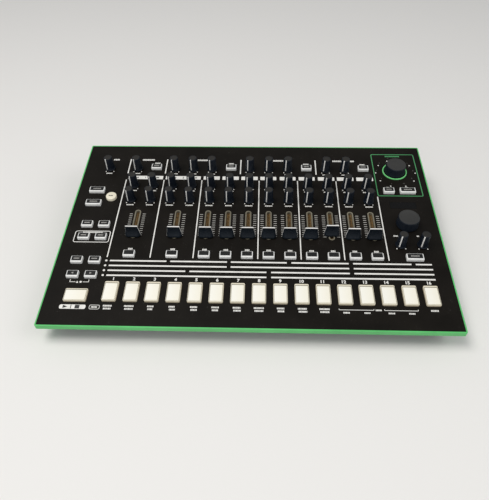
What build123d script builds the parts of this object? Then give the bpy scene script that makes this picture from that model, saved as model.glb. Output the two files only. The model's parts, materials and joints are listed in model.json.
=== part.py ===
from build123d import *
import math
import os

# Tabletop drum machine. A flat control panel in a bright rim slopes gently up to the back over a
# shallow black case. All sizes are in millimetres. The origin is on the table under the middle of
# the machine: +X to the player's right, +Y to the back, +Z up.
#
# Controls are laid out in panel coordinates: x to the right and y up the slope from the middle of
# the panel, and height along the panel's normal from its top face.

# ---- rim and panel
rim_width = 400.0
rim_length = 260.0  # front to back, along the slope
rim_height = 5.5
rim_border = 1.3  # the rim's width seen from above
rim_corner_radius = 1.5
rim_edge_round = 0.5
ledge_side = 13.0  # shelf that carries the panel, measured from the rim's outside
ledge_front = 25.0
ledge_back = 26.0
panel_slope = 5.9  # degrees
front_edge_height = 24.7  # top of the rim's front edge above the table
panel_thickness = 2.0
panel_clearance = 0.15

# ---- case
case_wall = 2.5
case_side_inset = 10.0  # how far each wall stands in from the rim's outside
case_front_inset = 5.0
case_toe_inset = 16.5  # the front wall leans in to here at the bottom
case_back_inset = 3.0
case_corner_radius = 3.0
crosswise_share = 0.1  # of an edge's direction along X, above which it runs across the case
upright_share = 0.5  # of an edge's direction along Z, above which it stands
foot_height = 3.0
foot_radius = 7.5
foot_inset_x = 35.0
foot_inset_y = 32.0

# ---- screws that hold the case to the rim, from below
case_screw_radius = 1.5
case_screw_grip = 12.0  # screwed length inside the case post
case_screw_cover = 0.5  # of the rim's shelf left above a screw's tip
case_screw_inset = 21.5  # from the rim's outside
screw_head_radius = 3.0
screw_head_height = 2.2
screw_clearance = 0.2
post_radius = 4.6
front_post_count = 5
front_post_margin = 20.0  # outermost posts, from the rim's outside
back_post_left_margin = 18.0
back_post_right_margin = 16.0

# ---- control board, hung from studs under the panel
board_depth = 12.0  # from the panel's underside to the board's top
board_thickness = 1.6
board_side_margin = 16.0  # from the rim's outside
board_front_margin = 29.0
board_back_margin = 29.0
stud_radius = 3.0
board_screw_radius = 1.2
board_screw_fit = 0.05  # gap between a board screw and its stud
board_screw_bite = 6.0
board_screw_head_radius = 2.4
board_screw_head_height = 1.5
stud_gap_numbers = [0, 5, 9, 13]  # a stud stands before these columns
front_stud_setback = 18.5  # in front of the channel buttons

# ---- columns and rows of the controls. A margin is measured from the rim's outside to a middle.
# The knob rows, slots and channel buttons keep their places from the middle of the panel, the
# effects and the dials from the back edge, and the pads from the front edge.
column_count = 13
first_column_margin = 64.0
last_column_margin = 70.8
effect_row_margin = 42.3
upper_row = 59.0
lower_row = 36.3
volume_margin = 31.0
pair_row_margin = 156.3  # from the back edge
pair_margins = [44.8, 22.4]

# ---- small knobs
knob_height = 17.5
knob_top_radius = 4.5
knob_waist_radius = 5.1
knob_skirt_radius = 5.75
knob_skirt_height = 2.7
knob_skirt_edge = 0.8
knob_edge = 0.5
knob_gap = 0.8  # above the panel
knob_cap_thickness = 5.0  # solid plastic above the shaft's hole
pointer_angle = 240.0  # degrees from +x, where a knob turned fully down points
pointer_width = 1.2
pointer_proud = 0.15
pointer_depth = 0.6

# ---- large dials
dial_height = 11.4
dial_top_radius = 11.0
dial_base_radius = 11.8
dial_base_height = 2.2
dial_edge = 0.6
dial_dish_radius = 8.6
dial_dish_depth = 0.5
dial_cap_thickness = 3.0  # above the shaft's hole
scatter_margin = 34.6
scatter_back_margin = 43.8
tempo_margin = 33.6
tempo_back_margin = 126.9

# ---- rotary controls under the knobs and dials
shaft_radius = 3.0
shaft_flat = 0.7  # how deep the flat of the D is cut
shaft_fit = 0.02  # gap between a shaft and the knob pressed on it
shaft_running_fit = 0.05
pot_size = 10.0
pot_height = 5.5
pot_floor = 2.0
bush_radius = 3.6
bush_stand = 0.3  # above the panel
bush_clearance = 0.2

# ---- faders
fader_travel = 31.5
fader_front_gap = 0.5  # from the slot's front end to the blade of a fader pulled fully down
fader_back_gap = 1.5
fader_raised = 4.0  # how far one fader stands above its stop
raised_fader_number = 9
fader_base_width = 16.0
fader_ridge_width = 12.6
fader_base_depth = 8.0
fader_ridge_depth = 2.6
fader_height = 14.0
fader_lip = 1.6
fader_gap = 0.9
fader_hollow = 1.1  # how far the long faces curve in
blade_width = 1.4
blade_depth = 5.0
blade_reach = 7.5  # into the cap, above the panel
blade_fit = 0.02
slot_width = 4.0
slot_middle = -0.35
liner_wall = 0.7
liner_flange = 1.25
liner_flange_height = 0.5
liner_reach = 0.6  # below the panel
liner_clearance = 0.1
slide_pot_width = 8.5
slide_pot_end = 5.0  # beyond each end of the slot
slide_pot_height = 6.0
slide_pot_slot_depth = 4.0
slide_pot_slot_clearance = 0.6
blade_floor_gap = 0.8

# ---- buttons and pads
pad_width = 13.7
pad_depth = 22.8
pad_height = 2.4
pad_bevel = 0.8
pad_travel = 1.5
pad_count = 16
first_pad_margin = 64.8
last_pad_margin = 25.15
pad_front_margin = 39.7
button_width = 12.0
wide_button_width = 17.3
button_depth = 8.0
button_height = 3.0
button_bevel = 0.5
button_travel = 0.8
button_corner = 0.6
pad_corner = 1.5
start_width = 22.0
start_depth = 14.4
start_margin = 31.8
start_front_margin = 34.7
round_button_diameter = 11.8
round_button_margin = 41.2
round_button_row = 39.5
key_clearance = 0.25  # between a button and its opening
key_wall = 1.4
key_lip = 0.8  # flange that keeps a button from coming out
key_lip_height = 1.0
key_lip_gap = 0.3  # flange below the panel's underside
key_stem_radius = 1.6
key_stop_gap = 0.15  # left between stem and switch when pressed home
channel_button_row = -43.1
top_button_back_margin = 40.0
top_button_column_numbers = [1, 5, 9, 12]
wide_button_side_gap = 14.35  # from the rim's outside to the left ends of the wide buttons
wide_button_rows = [50.1, 29.7]
mode_button_margin = 41.3  # second column; the first is the wide buttons'
middle_mode_button_rows = [-2.5, -20.2]
front_mode_button_margins = [78.0, 59.5]
scatter_button_back_margin = 77.0
scatter_button_margins = [45.9, 24.9]
tap_button_margin = 33.3
tap_button_back_margin = 173.5
switch_size = 6.0
switch_height = 3.5
switch_plunger_radius = 1.6
switch_plunger_height = 1.0

# ---- light ring and display
ring_gap = 1.1  # round the dial
ring_width = 1.1
ring_height = 1.0
ring_groove_depth = 1.0
ring_clearance = 0.1
window_width = 28.5
window_depth = 9.5
window_margin = 33.25
window_back_margin = 98.75
window_thickness = 1.8
window_clearance = 0.15
display_width = 26.0
display_depth = 8.0

# ---- rear board and sockets
rear_board_height = 12.9  # underside above the table
rear_board_length = 28.5
rear_board_left_margin = 22.0
rear_board_right_margin = 21.0
rear_board_gap = 0.6  # between the board and the case's back wall
rear_post_radius = 3.0
rear_post_left_margin = 50.0
rear_post_right_margin = 80.0
middle_rear_post_columns = [-35.0, 0.0]
socket_clearance = 0.2
left_jack_margins = [35.0, 65.0, 85.0, 125.0, 145.0]
middle_jack_columns = [15.0, 35.0]
jack_size = 15.0
jack_length = 26.0
jack_bore_radius = 3.2
jack_bore_length = 22.0
jack_nose_radius = 5.4
jack_nose_stand = 1.6  # outside the case's back wall
din_margins = [120.0, 94.0]
din_size = 19.0
din_length = 14.0
din_bore_radius = 6.75
din_bore_length = 7.5
din_face_radius = 8.6
din_pin_radius = 0.8
din_pin_circle = 3.6
din_pin_depth = 4.0
din_pin_count = 5
din_pin_arc = 45.0  # degrees from one contact to the next
usb_margin = 68.5
usb_width = 12.0
usb_height = 11.0
usb_length = 16.0
usb_opening_width = 8.5
usb_opening_height = 7.8
usb_opening_depth = 9.0
dc_margin = 50.0
dc_width = 11.0
dc_height = 11.0
dc_length = 14.0
dc_bore_radius = 2.85
dc_bore_length = 9.5
power_margin = 30.0
power_width = 13.0
power_frame_height = 19.0
power_length = 12.0
rocker_width = 9.6
rocker_height = 15.0
rocker_radius = 20.0
rocker_angle = 8.0
rocker_pin_radius = 1.2
rocker_pin_fit = 0.05
rocker_axis_depth = 5.5  # inside the case's back wall
rocker_side_gap = 0.3
rocker_back = 3.0  # rocker's body behind its axis
lock_slot_width = 7.0
lock_slot_height = 3.2
lock_slot_margin = 17.0
lock_slot_above_table = 26.0

# ---- the sloping panel, and places worked out from the sizes above
slope = math.radians(panel_slope)
panel_normal = (0, -math.sin(slope), math.cos(slope))
panel_middle = (
    0,
    -rim_height * math.sin(slope) / 2,
    front_edge_height + rim_length / 2 * math.sin(slope),
)
panel_top = Plane(origin=panel_middle, x_dir=(1, 0, 0), z_dir=panel_normal)
panel_underside = -panel_thickness
board_top = panel_underside - board_depth
back_edge = rim_length / 2 * math.cos(slope) + rim_height * math.sin(slope) / 2
back_wall = back_edge - case_back_inset
case_floor = foot_height + case_wall
rear_board_top = rear_board_height + board_thickness
case_screw_bite = rim_height - panel_thickness - case_screw_cover
left_side = -rim_width / 2
right_side = rim_width / 2
front_side = -rim_length / 2  # along the slope
back_side = rim_length / 2


def spread(first, last, count):
    """This many places at equal steps from the first to the last."""
    return [first + (last - first) * i / (count - 1) for i in range(count)]


# columns of the panel
column = spread(left_side + first_column_margin, right_side - last_column_margin, column_count)
half_pitch = (column[1] - column[0]) / 2
fader_columns = [
    (column[0] + column[1]) / 2,
    (column[2] + column[3]) / 2,
] + column[4:]
pad_columns = spread(left_side + first_pad_margin, right_side - last_pad_margin, pad_count)
pair_columns = [right_side - margin for margin in pair_margins]
wide_button_column = left_side + wide_button_side_gap + wide_button_width / 2
mode_button_columns = [wide_button_column, left_side + mode_button_margin]

# rows of the panel
effect_row = back_side - effect_row_margin
pair_row = back_side - pair_row_margin
pad_row = front_side + pad_front_margin
mode_button_rows = middle_mode_button_rows + [
    front_side + margin for margin in front_mode_button_margins
]
slot_length = fader_front_gap + blade_depth + fader_travel + fader_back_gap
fader_rest = slot_middle - slot_length / 2 + fader_front_gap + blade_depth / 2
ring_radius = dial_base_radius + ring_gap + ring_width
stud_rows = [channel_button_row - front_stud_setback, (effect_row + upper_row) / 2]
stud_columns = [column[0] + half_pitch * (2 * k - 1) for k in stud_gap_numbers]

# columns of the back wall, and of the posts that stand between its sockets
left_jack_columns = [left_side + margin for margin in left_jack_margins]
jack_columns = left_jack_columns + middle_jack_columns
din_columns = [right_side - margin for margin in din_margins]
usb_column = right_side - usb_margin
dc_column = right_side - dc_margin
power_column = right_side - power_margin
power_height = rear_board_top + power_frame_height / 2
lock_slot_place = (left_side + lock_slot_margin, lock_slot_above_table)
front_post_columns = spread(
    left_side + front_post_margin, right_side - front_post_margin, front_post_count
)
back_post_columns = [
    left_side + back_post_left_margin,
    (left_jack_columns[2] + left_jack_columns[3]) / 2,
    (left_jack_columns[-1] + middle_jack_columns[0]) / 2,
    (middle_jack_columns[-1] + din_columns[0]) / 2,
    right_side - back_post_right_margin,
]
rear_board_left = left_side + rear_board_left_margin
rear_board_right = right_side - rear_board_right_margin
rear_post_columns = [
    left_side + rear_post_left_margin,
    *middle_rear_post_columns,
    right_side - rear_post_right_margin,
]


def panel_spot(x, y):
    """Location on the panel's top face, with its local Z along the panel's normal."""
    return Plane(
        origin=panel_top.from_local_coords((x, y, 0)), x_dir=(1, 0, 0), z_dir=panel_normal
    ).location


def height_under_rim(y):
    """Height above the table of the rim's underside, straight above a point of the table."""
    drop = (y - panel_middle[1]) * math.tan(slope)
    return panel_middle[2] + drop - rim_height / math.cos(slope)


# ---- the controls: each shape is made once, at the origin, and then placed on the panel


def shaft_section(radius):
    """Round section with one flat, as on the shaft of a rotary control."""
    Circle(radius)
    with Locations((0, radius)):
        Rectangle(2 * radius, 2 * shaft_flat, mode=Mode.SUBTRACT)


def standing_shaft(top):
    """Shaft of a rotary control, from its floor up into a knob, with a flat on the upper part."""
    bottom = board_top + pot_floor + shaft_running_fit
    with BuildPart() as shaft:
        with BuildSketch(Plane.XY.offset(bottom)):
            Circle(shaft_radius)
        extrude(amount=-bottom)
        with BuildSketch(Plane.XY):
            shaft_section(shaft_radius)
        extrude(amount=top)
    return shaft.part


skirt_outline = [
    (knob_skirt_radius, knob_gap),
    (knob_skirt_radius, knob_gap + knob_skirt_edge),
]


def upper_outline(grow):
    """Half outline of a small knob from its waist to its top, as (radius, height) points."""
    return [
        (knob_waist_radius + grow, knob_skirt_height),
        (knob_top_radius + grow, knob_height - knob_edge),
        (knob_top_radius - knob_edge + grow, knob_height + max(grow, 0)),
    ]


turn = math.radians(pointer_angle)
pointer_plane = Plane(
    origin=(0, 0, 0),
    x_dir=(math.cos(turn), math.sin(turn), 0),
    z_dir=(math.sin(turn), -math.cos(turn), 0),
)

with BuildPart() as knob:
    with BuildSketch(Plane.XZ):
        with BuildLine():
            Polyline(
                (0, knob_gap), *skirt_outline, *upper_outline(0), (0, knob_height), close=True
            )
        make_face()
    revolve(axis=Axis.Z)
    with BuildSketch(pointer_plane):
        with BuildLine():
            Polyline(
                *upper_outline(pointer_proud), *reversed(upper_outline(-pointer_depth)), close=True
            )
        make_face()
    extrude(amount=pointer_width / 2, both=True)
    with BuildSketch(Plane.XY):
        shaft_section(shaft_radius + shaft_fit)
    extrude(amount=knob_height - knob_cap_thickness, mode=Mode.SUBTRACT)
    add(standing_shaft(knob_height - knob_cap_thickness - shaft_fit))

with BuildPart() as dial:
    with BuildSketch(Plane.XZ):
        with BuildLine():
            Polyline(
                (0, knob_gap),
                (dial_base_radius, knob_gap),
                (dial_base_radius, dial_base_height),
                (dial_top_radius, dial_height - dial_edge),
                (dial_top_radius - dial_edge, dial_height),
                (dial_dish_radius, dial_height),
                (dial_dish_radius - dial_dish_depth, dial_height - dial_dish_depth),
                (0, dial_height - dial_dish_depth),
                close=True,
            )
        make_face()
    revolve(axis=Axis.Z)
    with BuildSketch(Plane.XY):
        shaft_section(shaft_radius + shaft_fit)
    extrude(amount=dial_height - dial_cap_thickness, mode=Mode.SUBTRACT)
    add(standing_shaft(dial_height - dial_cap_thickness - shaft_fit))

with BuildPart() as fader:
    with BuildSketch(Plane.YZ):
        with BuildLine():
            foot_line = Polyline(
                (-fader_base_depth / 2, fader_gap + fader_lip),
                (-fader_base_depth / 2, fader_gap),
                (fader_base_depth / 2, fader_gap),
                (fader_base_depth / 2, fader_gap + fader_lip),
            )
            ridge_line = Line(
                (-fader_ridge_depth / 2, fader_height), (fader_ridge_depth / 2, fader_height)
            )
            for low, high in ((foot_line @ 0, ridge_line @ 0), (foot_line @ 1, ridge_line @ 1)):
                middle = (low + high) / 2
                inwards = -fader_hollow if low.X > 0 else fader_hollow
                ThreePointArc(low, middle + Vector(inwards, 0), high)
        make_face()
    extrude(amount=fader_base_width / 2, both=True)
    with BuildSketch(Plane.XZ):
        with BuildLine():
            Polyline(
                (-fader_base_width / 2, fader_gap),
                (fader_base_width / 2, fader_gap),
                (fader_base_width / 2, fader_gap + fader_lip),
                (fader_ridge_width / 2, fader_height),
                (-fader_ridge_width / 2, fader_height),
                (-fader_base_width / 2, fader_gap + fader_lip),
                close=True,
            )
        make_face()
    extrude(amount=fader_base_depth, both=True, mode=Mode.INTERSECT)
    blade_bottom = board_top + slide_pot_height - slide_pot_slot_depth + blade_floor_gap
    with BuildSketch(Plane.XY):
        Rectangle(blade_width + 2 * blade_fit, blade_depth + 2 * blade_fit)
    extrude(amount=blade_reach + blade_fit, mode=Mode.SUBTRACT)
    with BuildSketch(Plane.XY.offset(blade_bottom)):
        Rectangle(blade_width, blade_depth)
    extrude(amount=blade_reach - blade_bottom)


def key_section(width, depth, corner, grow=0.0):
    """Outline of a button, round where its corners meet, grown outwards by grow."""
    if 2 * corner >= width:
        Circle(width / 2 + grow)
    elif corner + grow > 0:
        RectangleRounded(width + 2 * grow, depth + 2 * grow, corner + grow)
    else:
        Rectangle(width + 2 * grow, depth + 2 * grow)


def push_key(width, depth, corner, height, bevel, travel):
    """Hollow cap that stands through the panel, kept in by a flange, its stem over a switch."""
    lip_top = panel_underside - key_lip_gap
    lip_bottom = lip_top - key_lip_height
    switch_top = board_top + switch_height + switch_plunger_height
    stem_bottom = switch_top + travel + key_stop_gap
    with BuildPart() as key:
        with BuildSketch(Plane.XY.offset(lip_bottom)):
            key_section(width, depth, corner)
        extrude(amount=height - lip_bottom)
        chamfer(key.faces().sort_by(Axis.Z)[-1].edges(), length=bevel)
        with BuildSketch(Plane.XY.offset(lip_bottom)):
            key_section(width, depth, corner, key_lip)
        extrude(amount=key_lip_height)
        with BuildSketch(Plane.XY.offset(lip_bottom)):
            key_section(width, depth, corner, -key_wall)
        extrude(amount=height - key_wall - lip_bottom, mode=Mode.SUBTRACT)
        with BuildSketch(Plane.XY.offset(stem_bottom)):
            Circle(key_stem_radius)
        extrude(amount=height - key_wall - stem_bottom)
    return key.part


small_key = push_key(
    button_width, button_depth, button_corner, button_height, button_bevel, button_travel
)
wide_key = push_key(
    wide_button_width, button_depth, button_corner, button_height, button_bevel, button_travel
)
round_key = push_key(
    round_button_diameter,
    round_button_diameter,
    round_button_diameter / 2,
    button_height,
    button_bevel,
    button_travel,
)
pad_key = push_key(pad_width, pad_depth, pad_corner, pad_height, pad_bevel, pad_travel)
start_key = push_key(start_width, start_depth, pad_corner, pad_height, pad_bevel, pad_travel)

# ---- where every control stands
scatter_place = (right_side - scatter_margin, back_side - scatter_back_margin)
tempo_place = (right_side - tempo_margin, back_side - tempo_back_margin)
window_place = (right_side - window_margin, back_side - window_back_margin)
start_place = (left_side + start_margin, front_side + start_front_margin)
round_button_place = (left_side + round_button_margin, round_button_row)
tap_button_place = (right_side - tap_button_margin, back_side - tap_button_back_margin)
strip_knob_places = (
    [(x, upper_row) for x in column]
    + [(x, lower_row) for x in column]
    + [(x, pair_row) for x in pair_columns]
)
single_knobs = {
    "volume_knob": (left_side + volume_margin, effect_row),
    "accent_knob": (column[0], effect_row),
    "reverb_level_knob": (column[2], effect_row),
    "reverb_time_knob": (column[3], effect_row),
    "reverb_gate_knob": (column[4], effect_row),
    "delay_level_knob": (column[6], effect_row),
    "delay_time_knob": (column[7], effect_row),
    "delay_feedback_knob": (column[8], effect_row),
    "input_level_knob": (column[10], effect_row),
    "input_duck_knob": (column[11], effect_row),
}
knob_places = strip_knob_places + list(single_knobs.values())
shaft_places = knob_places + [scatter_place, tempo_place]
channel_button_places = [(x, channel_button_row) for x in fader_columns]
top_button_places = [
    (column[k], back_side - top_button_back_margin) for k in top_button_column_numbers
]
mode_button_places = [(x, y) for y in mode_button_rows for x in mode_button_columns]
wide_button_places = [(wide_button_column, y) for y in wide_button_rows]
scatter_small_place, scatter_wide_place = [
    (right_side - margin, back_side - scatter_button_back_margin)
    for margin in scatter_button_margins
]
pad_places = [(x, pad_row) for x in pad_columns]
small_button_places = (
    channel_button_places + top_button_places + mode_button_places + [scatter_small_place]
)
all_wide_button_places = wide_button_places + [scatter_wide_place, tap_button_place]
switch_places = (
    small_button_places + all_wide_button_places + [round_button_place, start_place] + pad_places
)
stud_places = [(x, y) for y in stud_rows for x in stud_columns]
slot_places = [(x, slot_middle) for x in fader_columns]


# ---- top panel: black sheet with every opening cut, and studs below it for the control board
with BuildPart() as top_panel:
    with BuildSketch(panel_top):
        Rectangle(
            rim_width - 2 * rim_border - 2 * panel_clearance,
            rim_length - 2 * rim_border - 2 * panel_clearance,
        )
        with Locations(*shaft_places):
            Circle(bush_radius + bush_clearance, mode=Mode.SUBTRACT)
        with Locations(*slot_places):
            SlotOverall(
                slot_length + 2 * liner_wall + 2 * liner_clearance,
                slot_width + 2 * liner_wall + 2 * liner_clearance,
                rotation=90,
                mode=Mode.SUBTRACT,
            )
        with BuildSketch(mode=Mode.PRIVATE) as key_openings:
            with Locations(*small_button_places):
                key_section(button_width, button_depth, button_corner, key_clearance)
            with Locations(*all_wide_button_places):
                key_section(wide_button_width, button_depth, button_corner, key_clearance)
            with Locations(round_button_place):
                Circle(round_button_diameter / 2 + key_clearance)
            with Locations(*pad_places):
                key_section(pad_width, pad_depth, pad_corner, key_clearance)
            with Locations(start_place):
                key_section(start_width, start_depth, pad_corner, key_clearance)
            with Locations(window_place):
                Rectangle(window_width + 2 * window_clearance, window_depth + 2 * window_clearance)
        add(key_openings.sketch, mode=Mode.SUBTRACT)
    extrude(amount=-panel_thickness)
    with BuildSketch(panel_top):
        with Locations(scatter_place):
            Circle(ring_radius + ring_clearance)
            Circle(ring_radius - ring_width - ring_clearance, mode=Mode.SUBTRACT)
    extrude(amount=-ring_groove_depth, mode=Mode.SUBTRACT)
    with BuildSketch(panel_top.offset(board_top)):
        with Locations(*stud_places):
            Circle(stud_radius)
    extrude(amount=board_depth)
    with BuildSketch(panel_top.offset(board_top)):
        with Locations(*stud_places):
            Circle(board_screw_radius + board_screw_fit)
    extrude(amount=board_screw_bite + screw_clearance, mode=Mode.SUBTRACT)
top_panel.part.label = "top_panel"

# ---- rim: bright frame round the panel, with the shelf that the panel lies on
shelf_width = rim_width - 2 * ledge_side
shelf_length = rim_length - ledge_front - ledge_back
front_screw_row = -back_edge + case_screw_inset
back_screw_row = back_edge - case_screw_inset
case_screw_places = [(x, front_screw_row) for x in front_post_columns] + [
    (x, back_screw_row) for x in back_post_columns
]

with BuildPart() as rim_frame:
    with BuildSketch(panel_top):
        RectangleRounded(rim_width, rim_length, rim_corner_radius)
        with Locations((0, (ledge_front - ledge_back) / 2)):
            Rectangle(shelf_width, shelf_length, mode=Mode.SUBTRACT)
    extrude(amount=-rim_height)
    with BuildSketch(panel_top):
        Rectangle(rim_width - 2 * rim_border, rim_length - 2 * rim_border)
    extrude(amount=-panel_thickness, mode=Mode.SUBTRACT)
    outer_top = rim_frame.faces().sort_by(Axis(panel_middle, panel_normal))[-1].outer_wire()
    chamfer(outer_top.edges(), length=rim_edge_round / 2)
    for x, y in case_screw_places:
        under = height_under_rim(y)
        with Locations((x, y, under)):
            Cylinder(
                case_screw_radius,
                2 * (case_screw_bite + screw_clearance),
                mode=Mode.SUBTRACT,
            )
rim_frame.part.label = "rim_frame"

# ---- bottom case: black shell, open at the top, with a leaning front wall
front_toe = -back_edge + case_toe_inset
front_brow = panel_top.from_local_coords((0, front_side + case_front_inset, -rim_height))
case_width = rim_width - 2 * case_side_inset
with BuildPart() as bottom_case:
    with BuildSketch(Plane.YZ):
        with BuildLine():
            Polyline(
                (front_toe, foot_height),
                (front_brow.Y, front_brow.Z),
                (back_wall, height_under_rim(back_wall)),
                (back_wall, foot_height),
                close=True,
            )
        make_face()
    extrude(amount=case_width / 2, both=True)
    lengthwise = bottom_case.edges().filter_by(
        lambda edge: abs((edge @ 1 - edge @ 0).normalized().X) < crosswise_share
    )
    upright = lengthwise.filter_by(
        lambda edge: abs((edge @ 1 - edge @ 0).normalized().Z) > upright_share
    )
    fillet(upright, radius=case_corner_radius)
    top_face = bottom_case.faces().sort_by(Axis(panel_middle, panel_normal))[-1]
    offset(amount=-case_wall, openings=top_face)
    # posts for the long screws, cut off under the rim
    with BuildSketch(Plane.XY.offset(case_floor - case_wall / 2)):
        with Locations(*case_screw_places):
            Circle(post_radius)
    extrude(amount=rim_length / 4)
    split(bisect_by=panel_top.offset(-rim_height), keep=Keep.BOTTOM)
    for x, y in case_screw_places:
        seat = height_under_rim(y) - case_screw_grip
        with BuildSketch(Plane.XY.offset(foot_height)):
            with Locations((x, y)):
                Circle(screw_head_radius + screw_clearance)
        extrude(amount=seat - foot_height, mode=Mode.SUBTRACT)
        with BuildSketch(Plane.XY.offset(seat)):
            with Locations((x, y)):
                Circle(case_screw_radius + screw_clearance)
        extrude(amount=case_screw_grip * 2, mode=Mode.SUBTRACT)
    # short posts under the rear board
    rear_post_row = back_wall - case_wall - rear_board_length / 2
    with BuildSketch(Plane.XY.offset(case_floor)):
        with Locations(*[(x, rear_post_row) for x in rear_post_columns]):
            Circle(rear_post_radius)
    extrude(amount=rear_board_height - case_floor)
    # openings in the back wall
    jack_height = rear_board_top + jack_size / 2
    din_height = rear_board_top + din_size / 2
    usb_centre_height = rear_board_top + usb_height / 2
    dc_centre_height = rear_board_top + dc_height / 2
    with BuildSketch(Plane.XZ.offset(-back_wall)):
        with Locations(*[(x, jack_height) for x in jack_columns]):
            Circle(jack_nose_radius + socket_clearance)
        with Locations(*[(x, din_height) for x in din_columns]):
            Circle(din_face_radius + socket_clearance)
        with Locations((usb_column, usb_centre_height)):
            Rectangle(usb_width + 2 * socket_clearance, usb_height + 2 * socket_clearance)
        with Locations((dc_column, dc_centre_height)):
            Rectangle(dc_width + 2 * socket_clearance, dc_height + 2 * socket_clearance)
        with Locations((power_column, power_height)):
            Rectangle(
                power_width + 2 * socket_clearance, power_frame_height + 2 * socket_clearance
            )
        with Locations(lock_slot_place):
            SlotOverall(lock_slot_width, lock_slot_height)
    extrude(amount=case_wall, mode=Mode.SUBTRACT)
bottom_case.part.label = "bottom_case"

# ---- control board: green board under the panel, with every rotary control and switch on it
with BuildPart() as control_board:
    with BuildSketch(panel_top.offset(board_top)):
        with Locations((0, (board_front_margin - board_back_margin) / 2)):
            Rectangle(
                rim_width - 2 * board_side_margin,
                rim_length - board_front_margin - board_back_margin,
            )
        with Locations(*stud_places):
            Circle(board_screw_radius + screw_clearance, mode=Mode.SUBTRACT)
    extrude(amount=-board_thickness)
control_board.part.label = "control_board"

# ---- rotary controls: a body on the board and a round bush through the panel, one per knob
with BuildPart() as rotary_pots:
    with BuildSketch(panel_top.offset(board_top)):
        with Locations(*shaft_places):
            Rectangle(pot_size, pot_size)
    extrude(amount=pot_height)
    with BuildSketch(panel_top.offset(board_top + pot_height)):
        with Locations(*shaft_places):
            Circle(bush_radius)
    extrude(amount=bush_stand - board_top - pot_height)
    with BuildSketch(panel_top.offset(board_top + pot_floor)):
        with Locations(*shaft_places):
            Circle(shaft_radius + shaft_running_fit)
    extrude(amount=bush_stand - board_top - pot_floor, mode=Mode.SUBTRACT)
rotary_pots.part.label = "rotary_pots"

# ---- slide controls: a long body under each fader, with a slot for the fader's blade
with BuildPart() as slide_pots:
    with BuildSketch(panel_top.offset(board_top)):
        with Locations(*slot_places):
            Rectangle(slide_pot_width, slot_length + 2 * slide_pot_end)
    extrude(amount=slide_pot_height)
    with BuildSketch(panel_top.offset(board_top + slide_pot_height)):
        with Locations(*slot_places):
            Rectangle(blade_width + 2 * slide_pot_slot_clearance, slot_length)
    extrude(amount=-slide_pot_slot_depth, mode=Mode.SUBTRACT)
slide_pots.part.label = "slide_pots"

# ---- push switches: one on the board under every button and pad
with BuildPart() as push_switches:
    with BuildSketch(panel_top.offset(board_top)):
        with Locations(*switch_places):
            Rectangle(switch_size, switch_size)
    extrude(amount=switch_height)
    with BuildSketch(panel_top.offset(board_top + switch_height)):
        with Locations(*switch_places):
            Circle(switch_plunger_radius)
    extrude(amount=switch_plunger_height)
push_switches.part.label = "push_switches"

# ---- slot liners: clear tan plastic rings that line the fader slots
with BuildPart() as fader_slot_liners:
    with BuildSketch(panel_top):
        with Locations(*slot_places):
            SlotOverall(
                slot_length + 2 * liner_flange, slot_width + 2 * liner_flange, rotation=90
            )
    extrude(amount=liner_flange_height)
    with BuildSketch(panel_top):
        with Locations(*slot_places):
            SlotOverall(slot_length + 2 * liner_wall, slot_width + 2 * liner_wall, rotation=90)
    extrude(amount=-panel_thickness - liner_reach)
    with BuildSketch(panel_top.offset(liner_flange_height)):
        with Locations(*slot_places):
            SlotOverall(slot_length, slot_width, rotation=90)
    extrude(amount=-liner_flange_height - panel_thickness - liner_reach, mode=Mode.SUBTRACT)
fader_slot_liners.part.label = "fader_slot_liners"

# ---- light ring round the large upper dial, set in a groove of the panel
with BuildPart() as scatter_light_ring:
    with BuildSketch(panel_top.offset(-ring_groove_depth)):
        with Locations(scatter_place):
            Circle(ring_radius)
            Circle(ring_radius - ring_width, mode=Mode.SUBTRACT)
    extrude(amount=ring_groove_depth + ring_height)
scatter_light_ring.part.label = "scatter_light_ring"

# ---- tempo display: dark window in the panel, on top of its display module on the board
with BuildPart() as tempo_display:
    with BuildSketch(panel_top):
        with Locations(window_place):
            Rectangle(window_width, window_depth)
    extrude(amount=-window_thickness)
    with BuildSketch(panel_top.offset(board_top)):
        with Locations(window_place):
            Rectangle(display_width, display_depth)
    extrude(amount=-board_top - window_thickness)
tempo_display.part.label = "tempo_display"

# ---- rear board: lies on short posts along the back wall and carries the sockets
with BuildPart() as jack_board:
    with BuildSketch(Plane.XY.offset(rear_board_height)):
        with Locations(
            (
                (rear_board_left + rear_board_right) / 2,
                back_wall - case_wall - rear_board_gap - rear_board_length / 2,
            )
        ):
            Rectangle(rear_board_right - rear_board_left, rear_board_length)
        with Locations(*[(x, back_screw_row) for x in back_post_columns]):
            Circle(post_radius + 2 * screw_clearance, mode=Mode.SUBTRACT)
    extrude(amount=board_thickness)
jack_board.part.label = "jack_board"

# ---- phone jacks: seven sockets for 6.35 mm plugs, their noses through the back wall
inside_back = back_wall - case_wall
with BuildPart() as phone_jacks:
    with BuildSketch(Plane.XY.offset(rear_board_top)):
        with Locations(*[(x, inside_back - jack_length / 2) for x in jack_columns]):
            Rectangle(jack_size, jack_length)
    extrude(amount=jack_size)
    with BuildSketch(Plane.XZ.offset(-inside_back)):
        with Locations(*[(x, jack_height) for x in jack_columns]):
            Circle(jack_nose_radius)
    extrude(amount=-case_wall - jack_nose_stand)
    with BuildSketch(Plane.XZ.offset(-back_wall - jack_nose_stand)):
        with Locations(*[(x, jack_height) for x in jack_columns]):
            Circle(jack_bore_radius)
    extrude(amount=jack_bore_length, mode=Mode.SUBTRACT)
phone_jacks.part.label = "phone_jacks"

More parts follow.
